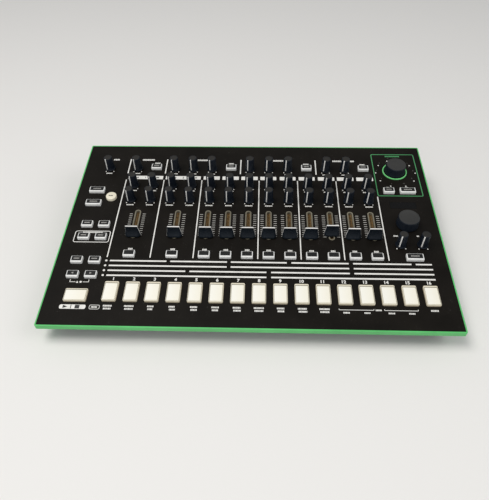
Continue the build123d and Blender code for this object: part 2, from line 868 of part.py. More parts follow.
# ---- other sockets: two round five-contact sockets, a square data socket, a power inlet and the
# frame of the power switch
rocker_axis_y = back_wall - rocker_axis_depth
with BuildPart() as rear_sockets:
    with BuildSketch(Plane.XY.offset(rear_board_top)):
        with Locations(*[(x, inside_back - din_length / 2) for x in din_columns]):
            Rectangle(din_size, din_length)
    extrude(amount=din_size)
    with BuildSketch(Plane.XZ.offset(-inside_back)):
        with Locations(*[(x, din_height) for x in din_columns]):
            Circle(din_face_radius)
    extrude(amount=-case_wall)
    with BuildSketch(Plane.XZ.offset(-back_wall)):
        with Locations(*[(x, din_height) for x in din_columns]):
            Circle(din_bore_radius)
    extrude(amount=din_bore_length, mode=Mode.SUBTRACT)
    with BuildSketch(Plane.XZ.offset(-back_wall + din_bore_length)):
        for x in din_columns:
            with Locations((x, din_height)):
                with PolarLocations(
                    din_pin_circle, din_pin_count, 0, din_pin_arc * (din_pin_count - 1)
                ):
                    Circle(din_pin_radius)
    extrude(amount=din_pin_depth, mode=Mode.SUBTRACT)
    with BuildSketch(Plane.XY.offset(rear_board_top)):
        with Locations((usb_column, back_wall - usb_length / 2)):
            Rectangle(usb_width, usb_length)
    extrude(amount=usb_height)
    with BuildSketch(Plane.XZ.offset(-back_wall)):
        with Locations((usb_column, usb_centre_height)):
            Rectangle(usb_opening_width, usb_opening_height)
    extrude(amount=usb_opening_depth, mode=Mode.SUBTRACT)
    with BuildSketch(Plane.XY.offset(rear_board_top)):
        with Locations((dc_column, back_wall - dc_length / 2)):
            Rectangle(dc_width, dc_length)
    extrude(amount=dc_height)
    with BuildSketch(Plane.XZ.offset(-back_wall)):
        with Locations((dc_column, dc_centre_height)):
            Circle(dc_bore_radius)
    extrude(amount=dc_bore_length, mode=Mode.SUBTRACT)
    with BuildSketch(Plane.XZ.offset(-back_wall)):
        with Locations((power_column, power_height)):
            Rectangle(power_width, power_frame_height)
            Rectangle(
                rocker_width + 2 * rocker_side_gap,
                rocker_height + 4 * rocker_side_gap,
                mode=Mode.SUBTRACT,
            )
    extrude(amount=power_length)
    with BuildSketch(Plane.YZ.offset(power_column)):
        with Locations((rocker_axis_y, power_height)):
            Circle(rocker_pin_radius)
    extrude(amount=rocker_width / 2 + 2 * rocker_side_gap, both=True)
rear_sockets.part.label = "rear_sockets"

# ---- power switch: rocker on a pin across its frame, tipped to the on side
with BuildPart() as power_switch:
    with BuildSketch(Plane.YZ.offset(power_column)):
        with Locations((rocker_axis_y, power_height)):
            Rectangle(2 * rocker_back, rocker_height)
            with BuildSketch(mode=Mode.PRIVATE) as rocker_face:
                with Locations((rocker_axis_depth - rocker_radius - rocker_side_gap, 0)):
                    Circle(rocker_radius)
                Rectangle(
                    2 * rocker_axis_depth, rocker_height - 2 * rocker_side_gap, mode=Mode.INTERSECT
                )
            add(rocker_face.sketch)
    extrude(amount=rocker_width / 2, both=True)
    with BuildSketch(Plane.YZ.offset(power_column)):
        with Locations((rocker_axis_y, power_height)):
            Circle(rocker_pin_radius + rocker_pin_fit)
    extrude(amount=rocker_width, both=True, mode=Mode.SUBTRACT)
rocker_axis = Axis((power_column, rocker_axis_y, power_height), (1, 0, 0))
with BuildPart() as tipped_power_switch:
    add(power_switch.part.rotate(rocker_axis, rocker_angle))
tipped_power_switch.part.label = "power_switch"

# ---- rubber feet, glued under the case
foot_rows = [-back_edge + foot_inset_y, back_edge - foot_inset_y]
foot_columns = [left_side + foot_inset_x, right_side - foot_inset_x]
with BuildPart() as rubber_feet:
    with BuildSketch(Plane.XY):
        with Locations(*[(x, y) for x in foot_columns for y in foot_rows]):
            Circle(foot_radius)
    extrude(amount=foot_height)
rubber_feet.part.label = "rubber_feet"

# ---- screws: ten through the case into the rim, and one under the board for each stud
with BuildPart() as screws:
    for x, y in case_screw_places:
        seat = height_under_rim(y) - case_screw_grip
        with BuildSketch(Plane.XY.offset(seat - screw_head_height)):
            with Locations((x, y)):
                Circle(screw_head_radius)
        extrude(amount=screw_head_height)
        with BuildSketch(Plane.XY.offset(seat)):
            with Locations((x, y)):
                Circle(case_screw_radius)
        extrude(amount=case_screw_grip + case_screw_bite)
    with BuildSketch(panel_top.offset(board_top - board_thickness - board_screw_head_height)):
        with Locations(*stud_places):
            Circle(board_screw_head_radius)
    extrude(amount=board_screw_head_height)
    with BuildSketch(panel_top.offset(board_top - board_thickness)):
        with Locations(*stud_places):
            Circle(board_screw_radius)
    extrude(amount=board_thickness + board_screw_bite)
screws.part.label = "screws"

# ---- knobs of the channel strips and the pair beside the tempo dial
with BuildPart() as strip_knobs:
    with Locations(*[panel_spot(x, y) for x, y in strip_knob_places]):
        add(knob.part)
strip_knobs.part.label = "strip_knobs"

# ---- banks of buttons
with BuildPart() as channel_buttons:
    with Locations(*[panel_spot(x, y) for x, y in channel_button_places]):
        add(small_key)
channel_buttons.part.label = "channel_buttons"

with BuildPart() as mode_buttons:
    with Locations(*[panel_spot(x, y) for x, y in mode_button_places]):
        add(small_key)
    with Locations(*[panel_spot(x, y) for x, y in wide_button_places]):
        add(wide_key)
    with Locations(panel_spot(*round_button_place)):
        add(round_key)
mode_buttons.part.label = "mode_buttons"

with BuildPart() as effect_buttons:
    with Locations(*[panel_spot(x, y) for x, y in top_button_places + [scatter_small_place]]):
        add(small_key)
    with Locations(*[panel_spot(x, y) for x, y in (scatter_wide_place, tap_button_place)]):
        add(wide_key)
effect_buttons.part.label = "effect_buttons"

with BuildPart() as start_button:
    with Locations(panel_spot(*start_place)):
        add(start_key)
start_button.part.label = "start_button"

# ---- the two large dials
with BuildPart() as scatter_dial:
    with Locations(panel_spot(*scatter_place)):
        add(dial.part)
scatter_dial.part.label = "scatter_dial"

with BuildPart() as tempo_dial:
    with Locations(panel_spot(*tempo_place)):
        add(dial.part)
tempo_dial.part.label = "tempo_dial"

# ---- one STEP file for each piece
os.makedirs("parts", exist_ok=True)
export_step(top_panel.part, "parts/top_panel.step")
export_step(rim_frame.part, "parts/rim_frame.step")
export_step(bottom_case.part, "parts/bottom_case.step")
export_step(control_board.part, "parts/control_board.step")
export_step(rotary_pots.part, "parts/rotary_pots.step")
export_step(slide_pots.part, "parts/slide_pots.step")
export_step(push_switches.part, "parts/push_switches.step")
export_step(fader_slot_liners.part, "parts/fader_slot_liners.step")
export_step(scatter_light_ring.part, "parts/scatter_light_ring.step")
export_step(tempo_display.part, "parts/tempo_display.step")
export_step(jack_board.part, "parts/jack_board.step")
export_step(phone_jacks.part, "parts/phone_jacks.step")
export_step(rear_sockets.part, "parts/rear_sockets.step")
export_step(tipped_power_switch.part, "parts/power_switch.step")
export_step(rubber_feet.part, "parts/rubber_feet.step")
export_step(screws.part, "parts/screws.step")
export_step(strip_knobs.part, "parts/strip_knobs.step")
export_step(channel_buttons.part, "parts/channel_buttons.step")
export_step(mode_buttons.part, "parts/mode_buttons.step")
export_step(effect_buttons.part, "parts/effect_buttons.step")
export_step(start_button.part, "parts/start_button.step")
export_step(scatter_dial.part, "parts/scatter_dial.step")
export_step(tempo_dial.part, "parts/tempo_dial.step")

for name, (x, y) in single_knobs.items():
    with BuildPart() as single_knob:
        with Locations(panel_spot(x, y)):
            add(knob.part)
    single_knob.part.label = name
    export_step(single_knob.part, f"parts/{name}.step")

for number, x in enumerate(fader_columns, start=1):
    rest = fader_rest
    if number == raised_fader_number:
        rest += fader_raised
    with BuildPart() as fader_cap:
        with Locations(panel_spot(x, rest)):
            add(fader.part)
    fader_cap.part.label = f"fader_{number}"
    export_step(fader_cap.part, f"parts/fader_{number}.step")

for number, (x, y) in enumerate(pad_places, start=1):
    with BuildPart() as step_pad:
        with Locations(panel_spot(x, y)):
            add(pad_key)
    step_pad.part.label = f"step_pad_{number}"
    export_step(step_pad.part, f"parts/step_pad_{number}.step")
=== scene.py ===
import json
import math

import bpy
from mathutils import Matrix, Vector


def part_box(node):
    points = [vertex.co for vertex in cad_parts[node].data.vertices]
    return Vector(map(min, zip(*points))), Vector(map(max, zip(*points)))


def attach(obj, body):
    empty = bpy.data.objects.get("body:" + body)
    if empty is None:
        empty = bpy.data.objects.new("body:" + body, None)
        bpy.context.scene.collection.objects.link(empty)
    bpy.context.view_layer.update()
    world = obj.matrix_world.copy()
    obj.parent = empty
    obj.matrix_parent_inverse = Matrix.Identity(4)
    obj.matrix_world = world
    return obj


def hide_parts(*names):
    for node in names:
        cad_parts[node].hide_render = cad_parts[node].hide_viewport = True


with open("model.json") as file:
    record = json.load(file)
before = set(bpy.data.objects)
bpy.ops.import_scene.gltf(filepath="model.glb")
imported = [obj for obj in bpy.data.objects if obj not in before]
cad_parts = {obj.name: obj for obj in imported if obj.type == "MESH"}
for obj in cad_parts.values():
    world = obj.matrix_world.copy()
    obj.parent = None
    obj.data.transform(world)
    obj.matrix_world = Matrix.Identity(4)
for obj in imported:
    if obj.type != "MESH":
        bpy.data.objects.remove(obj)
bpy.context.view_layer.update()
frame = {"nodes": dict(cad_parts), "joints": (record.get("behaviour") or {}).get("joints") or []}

# ---- table, light and camera
# The machine stands on a plain pale table top. Soft white panels hang round it, the largest above,
# none where the panel would mirror it, and the player looks down on it from the front.

MM = 0.001
scene = bpy.context.scene
joints = {joint["name"]: joint for joint in frame["joints"]}

# the panel's own axes: to the right, up the slope, and out of the panel
panel_right = Vector((1, 0, 0))
panel_up = Vector(joints["fader_1_slide"]["axis"]).normalized()
panel_normal = -Vector(joints["step_pad_1_press"]["axis"]).normalized()
accent_place = (-136.0, 87.7)  # of the accent knob on the panel, from its middle
panel_middle = (
    Vector(joints["accent_knob_turn"]["pos_m"])
    - panel_right * accent_place[0] * MM
    - panel_up * accent_place[1] * MM
)
panel_slope = math.atan2(panel_up.z, panel_up.y)
panel_turn = Matrix((panel_right, panel_up, panel_normal)).transposed()
panel_matrix = Matrix.Translation(panel_middle) @ panel_turn.to_4x4() @ Matrix.Scale(MM, 4)


def on_panel(x, y, height):
    """The point at panel coordinates in millimetres, in the frame's metres."""
    return panel_middle + (panel_right * x + panel_up * y + panel_normal * height) * MM


def feed(socket, value):
    """Give a socket a value, or a link from another socket or from a node's first output."""
    if isinstance(value, bpy.types.Node):
        value = value.outputs[0]
    if isinstance(value, bpy.types.NodeSocket):
        socket.id_data.links.new(value, socket)
    elif socket.type == "RGBA":
        socket.default_value = (*value, 1)
    else:
        socket.default_value = value


def feed_all(made, **inputs):
    """Feed a node's inputs, named with _ for spaces."""
    for label, value in inputs.items():
        feed(made.inputs[label.replace("_", " ")], value)
    return made


def plain_material(name, colour, roughness):
    """Starting point of every finish: one Principled shader with its constants set."""
    material = bpy.data.materials.new(name)
    material.use_nodes = True
    shader = material.node_tree.nodes["Principled BSDF"]
    return material, feed_all(shader, Base_Color=colour, Roughness=roughness)


def placed(name, data):
    """New object in the scene, at the origin."""
    made = bpy.data.objects.new(name, data)
    scene.collection.objects.link(made)
    return made


def mesh_object(name, vertices, faces, materials, bands=None):
    """New object with this mesh; bands gives each face's material."""
    mesh = bpy.data.meshes.new(name)
    mesh.from_pydata(vertices, [], faces)
    for material in materials:
        mesh.materials.append(material)
    if bands:
        mesh.polygons.foreach_set("material_index", bands)
    mesh.update()
    return placed(name, mesh)


table_reach = 40.0
table_material, _ = plain_material("pale_table", (0.78, 0.77, 0.75), 0.85)
table_top = mesh_object(
    "table_top",
    [(x * table_reach, y * table_reach, 0) for x, y in ((-1, -1), (1, -1), (1, 1), (-1, 1))],
    [(0, 1, 2, 3)],
    [table_material],
)

world = bpy.data.worlds.new("studio")
scene.world = world
world.use_nodes = True
feed_all(world.node_tree.nodes["Background"], Color=(0.95, 0.97, 1.0), Strength=0.34)
light_aim = Vector((0, 0, 0.03))


def soft_panel(name, place, width, depth, power, tint):
    """Soft white light panel that faces the machine."""
    light = bpy.data.lights.new(name, "AREA")
    light.shape = "RECTANGLE"
    light.size, light.size_y = width, depth
    light.energy = power
    light.color = tint
    made = placed(name, light)
    made.location = place
    made.rotation_euler = (light_aim - Vector(place)).to_track_quat("-Z", "Y").to_euler()


soft_panel("window_light", (-0.6, -0.25, 1.7), 1.0, 0.8, 19.5, (1.0, 0.98, 0.95))
soft_panel("room_light", (1.3, -0.4, 1.2), 1.0, 1.0, 7, (1.0, 0.99, 0.97))
soft_panel("front_light", (-0.2, -1.3, 0.8), 1.2, 0.7, 4, (0.97, 0.98, 1.0))

camera_place = (11.231, -386.172, 423.903)  # on the panel, in millimetres
camera_forward = Vector((-0.0315911, 0.63726329, -0.76999838))
camera_down = Vector((0.01253733, -0.77006963, -0.63783664))
sensor_width, picture_height = 36.0, 500
focal_length = 532.87  # in the same pixels as the picture's height
camera_data = bpy.data.cameras.new("player_view")
camera_data.sensor_width = sensor_width
camera_data.lens = sensor_width * focal_length / picture_height
camera_data.clip_start = 0.01
camera = placed("player_view", camera_data)
look, above = panel_turn @ camera_forward, panel_turn @ -camera_down
camera_turn = Matrix((look.cross(above), above, -look)).transposed()
camera.matrix_world = Matrix.Translation(on_panel(*camera_place)) @ camera_turn.to_4x4()
scene.camera = camera
scene.view_settings.view_transform = "Standard"

# ---- top panel
# A flat sheet with a fine satin black paint, a little uneven in gloss in scattered smudges, with dust
# specks and faint scratches. Its openings are punched before it is painted.


def new_tree(name, kind, inputs, outputs):
    """Node tree with named inputs, as name: (kind, value), and outputs, as name: kind."""
    made = bpy.data.node_groups.new(name, kind)
    for label, (socket, value) in inputs.items():
        given = made.interface.new_socket(label, in_out="INPUT", socket_type="NodeSocket" + socket)
        if value is not None:
            given.default_value = value
    for label, socket in outputs.items():
        made.interface.new_socket(label, in_out="OUTPUT", socket_type="NodeSocket" + socket)
    return made, made.nodes.new("NodeGroupInput").outputs, made.nodes.new("NodeGroupOutput").inputs


def node(tree, kind, **inputs):
    """New node with these inputs fed."""
    return feed_all(tree.nodes.new(kind), **inputs)


# the next helpers put a node in the tree of the first value given to them
def math_node(operation, first, second, clamp=False):
    """Math node for two values."""
    made = node(first.id_data, "ShaderNodeMath")
    made.operation = operation
    made.use_clamp = clamp
    feed(made.inputs[0], first)
    feed(made.inputs[1], second)
    return made


def noise(vector, scale, detail, rough):
    """Noise texture's value."""
    inputs = {"Vector": vector, "Scale": scale, "Detail": detail, "Roughness": rough}
    return node(vector.id_data, "ShaderNodeTexNoise", **inputs)


def between(value, low, high, out_low=0, out_high=1):
    """Map a value from one range to another, clamped."""
    ranges = {"From_Min": low, "From_Max": high, "To_Min": out_low, "To_Max": out_high}
    return node(value.id_data, "ShaderNodeMapRange", Value=value, **ranges)


def mixed(share, first, second):
    """Colour between two."""
    made = node(share.id_data, "ShaderNodeMix")
    made.data_type = "RGBA"
    for place, value in ((0, share), (6, first), (7, second)):
        feed(made.inputs[place], value)
    return made.outputs[2]


# surface grain: fine bumps, and a slow change in tone
grain_group, given, result = new_tree(
    "surface_grain",
    "ShaderNodeTree",
    {"Grain Scale": ("Float", 2500), "Tone Scale": ("Float", 30)},
    {"Height": "Float", "Tone": "Float"},
)
place = grain_group.nodes.new("ShaderNodeTexCoord").outputs["Object"]
slow = noise(place, given["Tone Scale"], 4, 0.6)
feed(result["Height"], noise(place, given["Grain Scale"], 2, 0.6))
feed(result["Tone"], between(slow, 0.3, 0.7))

# marks of use: dull smudges from fingers, dust specks, and hairline scratches
marks_group, given, result = new_tree(
    "marks_of_use",
    "ShaderNodeTree",
    {"Smudge Scale": ("Float", 45), "Dust Scale": ("Float", 900)},
    {"Smudge": "Float", "Dust": "Float", "Scratch": "Float"},
)
place = marks_group.nodes.new("ShaderNodeTexCoord").outputs["Object"]
smudge = noise(place, given["Smudge Scale"], 5, 0.65)
speck = noise(place, given["Dust Scale"], 2, 0.7)
patch = noise(place, 60, 3, 0.6)
stretch = node(
    marks_group, "ShaderNodeMapping", Vector=place, Rotation=(0.2, 0.1, 0.5), Scale=(700, 9, 300)
)
hair = noise(stretch, 1, 2, 0.5)
feed(result["Smudge"], between(smudge, 0.45, 0.68))
for label, fine, low, high, patch_low, patch_high in (
    ("Dust", speck, 0.68, 0.76, 0.42, 0.7),
    ("Scratch", hair, 0.70, 0.74, 0.5, 0.6),
):
    spots = between(fine, low, high)
    patches = between(patch, patch_low, patch_high)
    feed(result[label], math_node("MULTIPLY", spots, patches))


def use_group(shader, group, **inputs):
    """Place a group in a shader's material with its own numbers."""
    made = node(shader.id_data, "ShaderNodeGroup")
    made.node_tree = group
    return feed_all(made, **inputs).outputs


def grained(name, colour, roughness, grain, tone_scale):
    """Material with grain: itself, its shader, and the grain's Height and Tone.

    grain is the bumps' scale, and their depth in micrometres."""
    material, shader = plain_material(name, colour, roughness)
    surface = use_group(shader, grain_group, Grain_Scale=grain[0], Tone_Scale=tone_scale)
    bump = {"Height": surface["Height"], "Distance": grain[1] * MM / 1000}
    feed_all(shader, Normal=node(material.node_tree, "ShaderNodeBump", **bump))
    return material, shader, surface


def finish(name, colour, roughness, tone=0.12, grain=(2500, 20), smudge=0.08, dust=0.25,
           tone_scale=30, **inputs):
    """Painted or moulded finish: grain, slow change of tone, smudges, dust and scratches.

    tone is the share by which the colour changes over patches of 1 / tone_scale metres, and smudge
    and dust are how strongly marks of use show."""
    material, shader, surface = grained(name, colour, roughness, grain, tone_scale)
    marks = use_group(shader, marks_group)
    dark = tuple(channel * (1 - tone) for channel in colour)
    light = tuple(min(channel * (1 + tone) + 0.004 * tone, 1) for channel in colour)
    base = mixed(surface["Tone"], dark, light)
    dusty = math_node("MULTIPLY", marks["Dust"], dust)
    dust_colour = (0.55, 0.54, 0.51)
    dull = math_node("MULTIPLY", marks["Smudge"], smudge)
    worn = math_node("MULTIPLY", marks["Scratch"], -0.5 * smudge)
    feed_all(
        shader,
        Base_Color=mixed(dusty, base, dust_colour),
        Roughness=math_node("ADD", math_node("ADD", dull, worn), roughness, clamp=True),
        **inputs,
    )
    return material


def dress(material, *node_names):
    """Give CAD pieces their finish."""
    for node_name in node_names:
        slots = frame["nodes"][node_name].data.materials
        slots.clear()
        slots.append(material)


panel_paint = finish(
    "panel_paint", (0.0056, 0.0043, 0.0029), 0.48, tone=0.25, grain=(3200, 18), smudge=0.12, dust=0.2,
    Specular_IOR_Level=0.12,
)
dress(panel_paint, "top_panel")

# ---- panel print
# White ink laid on the paint: lines between the channels, scales, step numbers and bars for the
# channels' names. Lettering is left off; short blocks and plain numbers stand in its place.

INK = 0.03  # how far the ink stands above the paint
SUNK = 0.02  # how far it is let into the paint
OVERPRINT = 0.02  # how far a second ink stands above the first
OVERLAP = 0.005  # how far it is let into the first


def on_axis_of(joint_name):
    """Panel coordinates in millimetres of the point where a knob's joint stands."""
    offset = (Vector(joints[joint_name]["pos_m"]) - panel_middle) / MM
    return offset.dot(panel_right), offset.dot(panel_up)


def column_of(node_name):
    """Panel x of the middle of a CAD piece, in millimetres."""
    low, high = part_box(node_name)
    return (low[0] + high[0]) / 2 / MM


first_column, effect_row = on_axis_of("accent_knob_turn")
column_pitch = (on_axis_of("input_duck_knob_turn")[0] - first_column) / 11
columns = [first_column + column_pitch * k for k in range(13)]
upper_row, lower_row, pair_row = 59, 36.3, -26.3
pair_columns = (155.2, 177.6)
fader_columns = [column_of(f"fader_{number}") for number in range(1, 12)]
effect_columns = [columns[k] for k in (0, 2, 3, 4, 6, 7, 8, 10, 11)]
volume_column = on_axis_of("volume_knob_turn")[0]
channel_knobs = [(x, y) for y in (upper_row, lower_row) for x in columns]
strip_knobs = channel_knobs + [(x, pair_row) for x in pair_columns]
effect_knobs = [(x, effect_row) for x in [volume_column, *effect_columns]]
pad_row, start_row = -90.3, -95.3
pad_columns = [column_of(f"step_pad_{number}") for number in range(1, 17)]


def edge_between(k):
    """Panel x halfway between column k - 1 and column k."""
    return first_column + column_pitch * (k - 0.5)


def bar(left, right, low, high, corner=0, steps=3):
    """Outline of a bar, with rounded corners where corner isn't 0."""
    if corner <= 0:
        return [(left, low), (right, low), (right, high), (left, high)]
    outline = []
    centres = (
        (right - corner, high - corner, 0), (left + corner, high - corner, 90),
        (left + corner, low + corner, 180), (right - corner, low + corner, 270),
    )
    for x, y, start in centres:
        for i in range(steps + 1):
            turn = math.radians(start + 90 * i / steps)
            outline.append((x + corner * math.cos(turn), y + corner * math.sin(turn)))
    return outline


def circle(x, y, radius, steps=16):
    """Outline of a circle."""
    turns = [2 * math.pi * i / steps for i in range(steps)]
    return [(x + radius * math.cos(turn), y + radius * math.sin(turn)) for turn in turns]


def band(start, end, count):
    """Faces between two closed rows of points, whose first points have these numbers."""
    pairs = [(i, (i + 1) % count) for i in range(count)]
    return [[start + i, start + after, end + after, end + i] for i, after in pairs]


def evaluated_mesh(holder):
    """Plain mesh of an object's modifiers or text, worked out."""
    graph = bpy.context.evaluated_depsgraph_get()
    return bpy.data.meshes.new_from_object(holder.evaluated_get(graph))


class Shape:
    """Solid shapes in millimetres, gathered into one mesh; each face has its part number."""

    def __init__(self, low=-SUNK, high=INK):
        self.vertices, self.faces, self.parts = [], [], []
        self.low, self.high = low, high

    def add(self, vertices, faces, parts=None):
        """Add a mesh, whose faces count from its own first vertex, as part 0 if not told."""
        first = len(self.vertices)
        self.vertices += vertices
        self.faces += [[first + i for i in face] for face in faces]
        self.parts += parts or [0] * len(faces)

    def loft(self, loops, parts=0):
        """Closed skin over a stack of loops; parts gives bottom, every band, and top."""
        count, last = len(loops[0]), len(loops) - 1
        skins = [[list(reversed(range(count)))]]
        skins += [band(count * k, count * (k + 1), count) for k in range(last)]
        skins.append([[count * last + i for i in range(count)]])
        if isinstance(parts, int):
            parts = [parts] * len(skins)
        self.add(
            [point for loop in loops for point in loop],
            [face for skin in skins for face in skin],
            [part for skin, part in zip(skins, parts) for face in skin],
        )

    def fill(self, outline, part=0):
        """Flat solid inside an outline, from the low to the high level."""
        self.loft([[(x, y, z) for x, y in outline] for z in (self.low, self.high)], part)

    def line_round(self, outer, inner):
        """Closed line between two outlines of as many points."""
        count = len(outer)
        levels = (self.low, self.high)
        rows = [(x, y, z) for outline in (outer, inner) for z in levels for x, y in outline]
        sides = [band(a * count, b * count, count) for a, b in ((0, 1), (1, 3), (3, 2), (2, 0))]
        self.add(rows, [face for side in sides for face in side])

    def frame_line(self, left, right, low, high, width, corner):
        """Rounded frame drawn with a line of this width."""
        self.line_round(
            bar(left, right, low, high, corner, 6),
            bar(left + width, right - width, low + width, high - width, max(corner - width, 0.1), 6),
        )

    def number(self, text, x, y, size, weight=0.02):
        """Plain number centred on a point; weight thickens its strokes by a share of the size."""
        curve = bpy.data.curves.new("number", "FONT")
        curve.body = text
        curve.size = size
        curve.align_x, curve.align_y = "CENTER", "CENTER"
        curve.extrude = (self.high - self.low) / 2
        curve.offset = size * weight
        curve.resolution_u = 3
        holder = placed("number", curve)
        mesh = evaluated_mesh(holder)
        middle = (self.high + self.low) / 2
        self.add(
            [(v.co.x + x, v.co.y + y, v.co.z + middle) for v in mesh.vertices],
            [list(face.vertices) for face in mesh.polygons],
        )
        bpy.data.objects.remove(holder)
        bpy.data.meshes.remove(mesh)

    def label(self, x, y, width, height, seed, part=0):
        """Row of short blocks that stands where a word would be printed."""
        left = x - width / 2
        step = 0
        while left < x + width / 2 - 0.5:
            block = (0.95, 0.7, 1.15, 0.85)[(seed + step) % 4]
            right = min(left + block, x + width / 2)
            self.fill(bar(left, right, y - height / 2, y + height / 2), part)
            left = right + 0.32
            step += 1

    def object(self, name, materials, matrix, smooth=None):
        """The gathered shapes as one object, with edges sharper than smooth degrees kept sharp."""
        made = mesh_object(
            name, [matrix @ Vector(v) for v in self.vertices], self.faces, materials, self.parts
        )
        if smooth:
            made.data.polygons.foreach_set("use_smooth", [True] * len(self.faces))
            made.data.set_sharp_from_angle(angle=math.radians(smooth))
        return made

    def print_on(self, name, material):
        """The gathered shapes as a print on the panel."""
        on_case(self.object(name, [material], panel_matrix))


def on_case(piece):
    """Let a piece ride on the case."""
    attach(piece, "case")


def ink(name, colour, **changes):
    """Ink that is a little uneven and takes no dust, unless the changes to it say so."""
    usual = {"tone": 0.15, "grain": (2000, 10), "dust": 0.0}
    return finish(name, colour, 0.5, **{**usual, **changes})


white_ink, shader, surface = grained("white_ink", (0.80, 0.79, 0.75), 0.5, (1800, 10), 140)
feed_all(
    shader,
    Base_Color=mixed(surface["Tone"], (0.70, 0.69, 0.655), (0.84, 0.83, 0.79)),
    Roughness=between(surface["Height"], 0.3, 0.7, 0.4, 0.6),
)
scale_ink = ink("scale_ink", (0.40, 0.39, 0.36), grain=(1800, 10))
dim_ink = ink("dim_ink", (0.13, 0.13, 0.12), grain=(1800, 10))

white = Shape()
# upright lines between the channels and between the effect groups: x, width, and both ends
channel_line = 1.15
upright_lines = [(edge_between(k), channel_line, -47, 69) for k in (0, 2, 4, 7, 9, 11)]
upright_lines.append((140.5, channel_line, -47, 44.5))
upright_lines += [(edge_between(k), 1.3, 80, 105) for k in (0, 2, 6, 10)]
for x, wide, low, high in upright_lines:
    white.fill(bar(x - wide / 2, x + wide / 2, low, high))
# bars for the channels' names, across the top of the lines
name_bars = [
    (-145.5, -104.5), (-101.3, -60.4), (-57, -38.2), (-35, -16), (-13, 6), (9, 27.5),
    (31.5, 49.8), (53.4, 71.8), (75.6, 94.5), (97.5, 116.5), (119.8, 139),
]
name_low, name_high = 70, 75.7
for left, right in name_bars:
    white.fill(bar(left, right, name_low, name_high, 0.5))
# lines that group the steps, each with a dot at its left end
scale_lines = (
    (-51.5, (-143.3, -85.3, -81.3, -23.5, -19.5, 37, 41.8, 99.3, 103.8, 162, 166.3, 182.3)),
    (-57.8, (-143.3, -23.5, -19.5, 99.3, 103.8, 182.3)),
    (-64, (-143.3, -64.8, -60.5, 16.5, 21.3, 99.3, 103.8, 182.3)),
    (-70.2, (-143.3, 16.5, 21.3, 182.3)),
)
half_line = 0.9
for y, ends in scale_lines:
    white.fill(circle(-147, y, 1.2))
    for left, right in zip(ends[::2], ends[1::2]):
        white.fill(bar(left, right, y - half_line, y + half_line))
# step numbers, and two rows of words under the pads
word_widths = (8.6, 9.2, 6.2, 6.4, 6.8, 7.4, 8, 9.4, 7, 8.8, 9.6, 0, 0, 0, 0, 7.6)
for i, (x, wide) in enumerate(zip(pad_columns, word_widths)):
    white.number(str(i + 1), x, -74.6, 5, 0.035)
    if wide:
        white.label(x, -106.6, wide, 1.9, i)
    if wide and i < 11:
        white.label(x + 0.3, -109.8, wide - 0.8, 1.9, i + 2)
# a word under each channel knob and effect knob, over each fader's button and four effect buttons
for i, (x, y) in enumerate(channel_knobs):
    white.label(x, y - 8, 8, 1.6, i)
for i, (x, y) in enumerate(effect_knobs):
    white.label(x, y - 8.1, 7.2, 1.6, i)
for i, x in enumerate(fader_columns):
    white.label(x, -35.6, 4.6, 2.2, i)
for i, k in enumerate((1, 5, 9, 12)):
    white.label(columns[k], 98, 6.2, 1.9, i)
# single words: x, y, width, height, and which block each begins with
for word in (
    # names of the effect groups, in the top row
    (-164.5, 103.8, 7, 2.6, 0), (-125.5, 103.8, 15, 2.6, 1), (-60.25, 103.8, 12.5, 2.6, 2),
    (30, 103.8, 12, 2.6, 3), (99.75, 103.8, 10.5, 2.6, 0), (117.75, 103.8, 4.5, 2.6, 1),
    # between the brackets under the last pads, and in them
    (122.5, -107, 6.2, 1.7, 1), (92, -110.2, 6, 1.7, 0), (111.5, -110.2, 6, 1.7, 1),
    (134, -110.2, 6, 1.7, 2), (153, -110.2, 6, 1.7, 3),
    # over the pair of knobs, two buttons below the upper dial, and the framed pair of buttons
    (152, -13.7, 4.6, 1.8, 0), (175.2, -13.7, 2.6, 1.8, 2), (154.1, 59.4, 2.6, 1.8, 1),
    (175.1, 59.4, 3.4, 1.8, 2), (-169, -13.4, 21, 1.8, 2),
    # in the outlined pill
    (-147.5, -108.3, 6, 1.8, 1),
):
    white.label(*word)
# brackets under the last pads, and one with two marks under the last pair of buttons on the left
for left, right, low, high in (
    (85, 118, -107.3, -106.7), (85, 85.5, -107.3, -105.6), (117.5, 118, -107.3, -105.6),
    (127.5, 159.5, -107.3, -106.7), (127.5, 128, -107.3, -105.6), (159, 159.5, -107.3, -105.6),
    (-178.5, -177.9, -78.7, -76), (-159.8, -159.2, -78.7, -76),
    (-178.5, -172.6, -79.2, -78.6), (-165.2, -159.2, -79.2, -78.6),
):
    white.fill(bar(left, right, low, high))
white.fill([(-172, -80.1), (-169.5, -80.1), (-170.7, -77.7)])
white.fill(circle(-167.3, -78.9, 1.15))
# frame round a pair of buttons, pill under the start button, and an outlined pill beside it
white.frame_line(-187.8, -149.6, -27.4, -11.2, 0.8, 2.6)
white.fill(bar(-181.4, -156, -110.7, -105.8, 1.6))
white.frame_line(-152.6, -142.4, -110.8, -105.8, 0.5, 1.6)
# dots and numbers round the upper dial
grey = Shape()
dial_x, dial_y, dots_radius = 166.2, 83, 22.8
for i in range(10):
    turn = math.radians(248 - 35.1 * i)
    x, y = dial_x + dots_radius * math.cos(turn), dial_y + dots_radius * math.sin(turn)
    white.fill(circle(x, y, 0.8))
    grey.number(str(i + 1), x + (1.6 if x < dial_x else -1.9), y + 4.2, 2.3, 0)
white.print_on("panel_print", white_ink)
grey.print_on("dial_numbers", dim_ink)

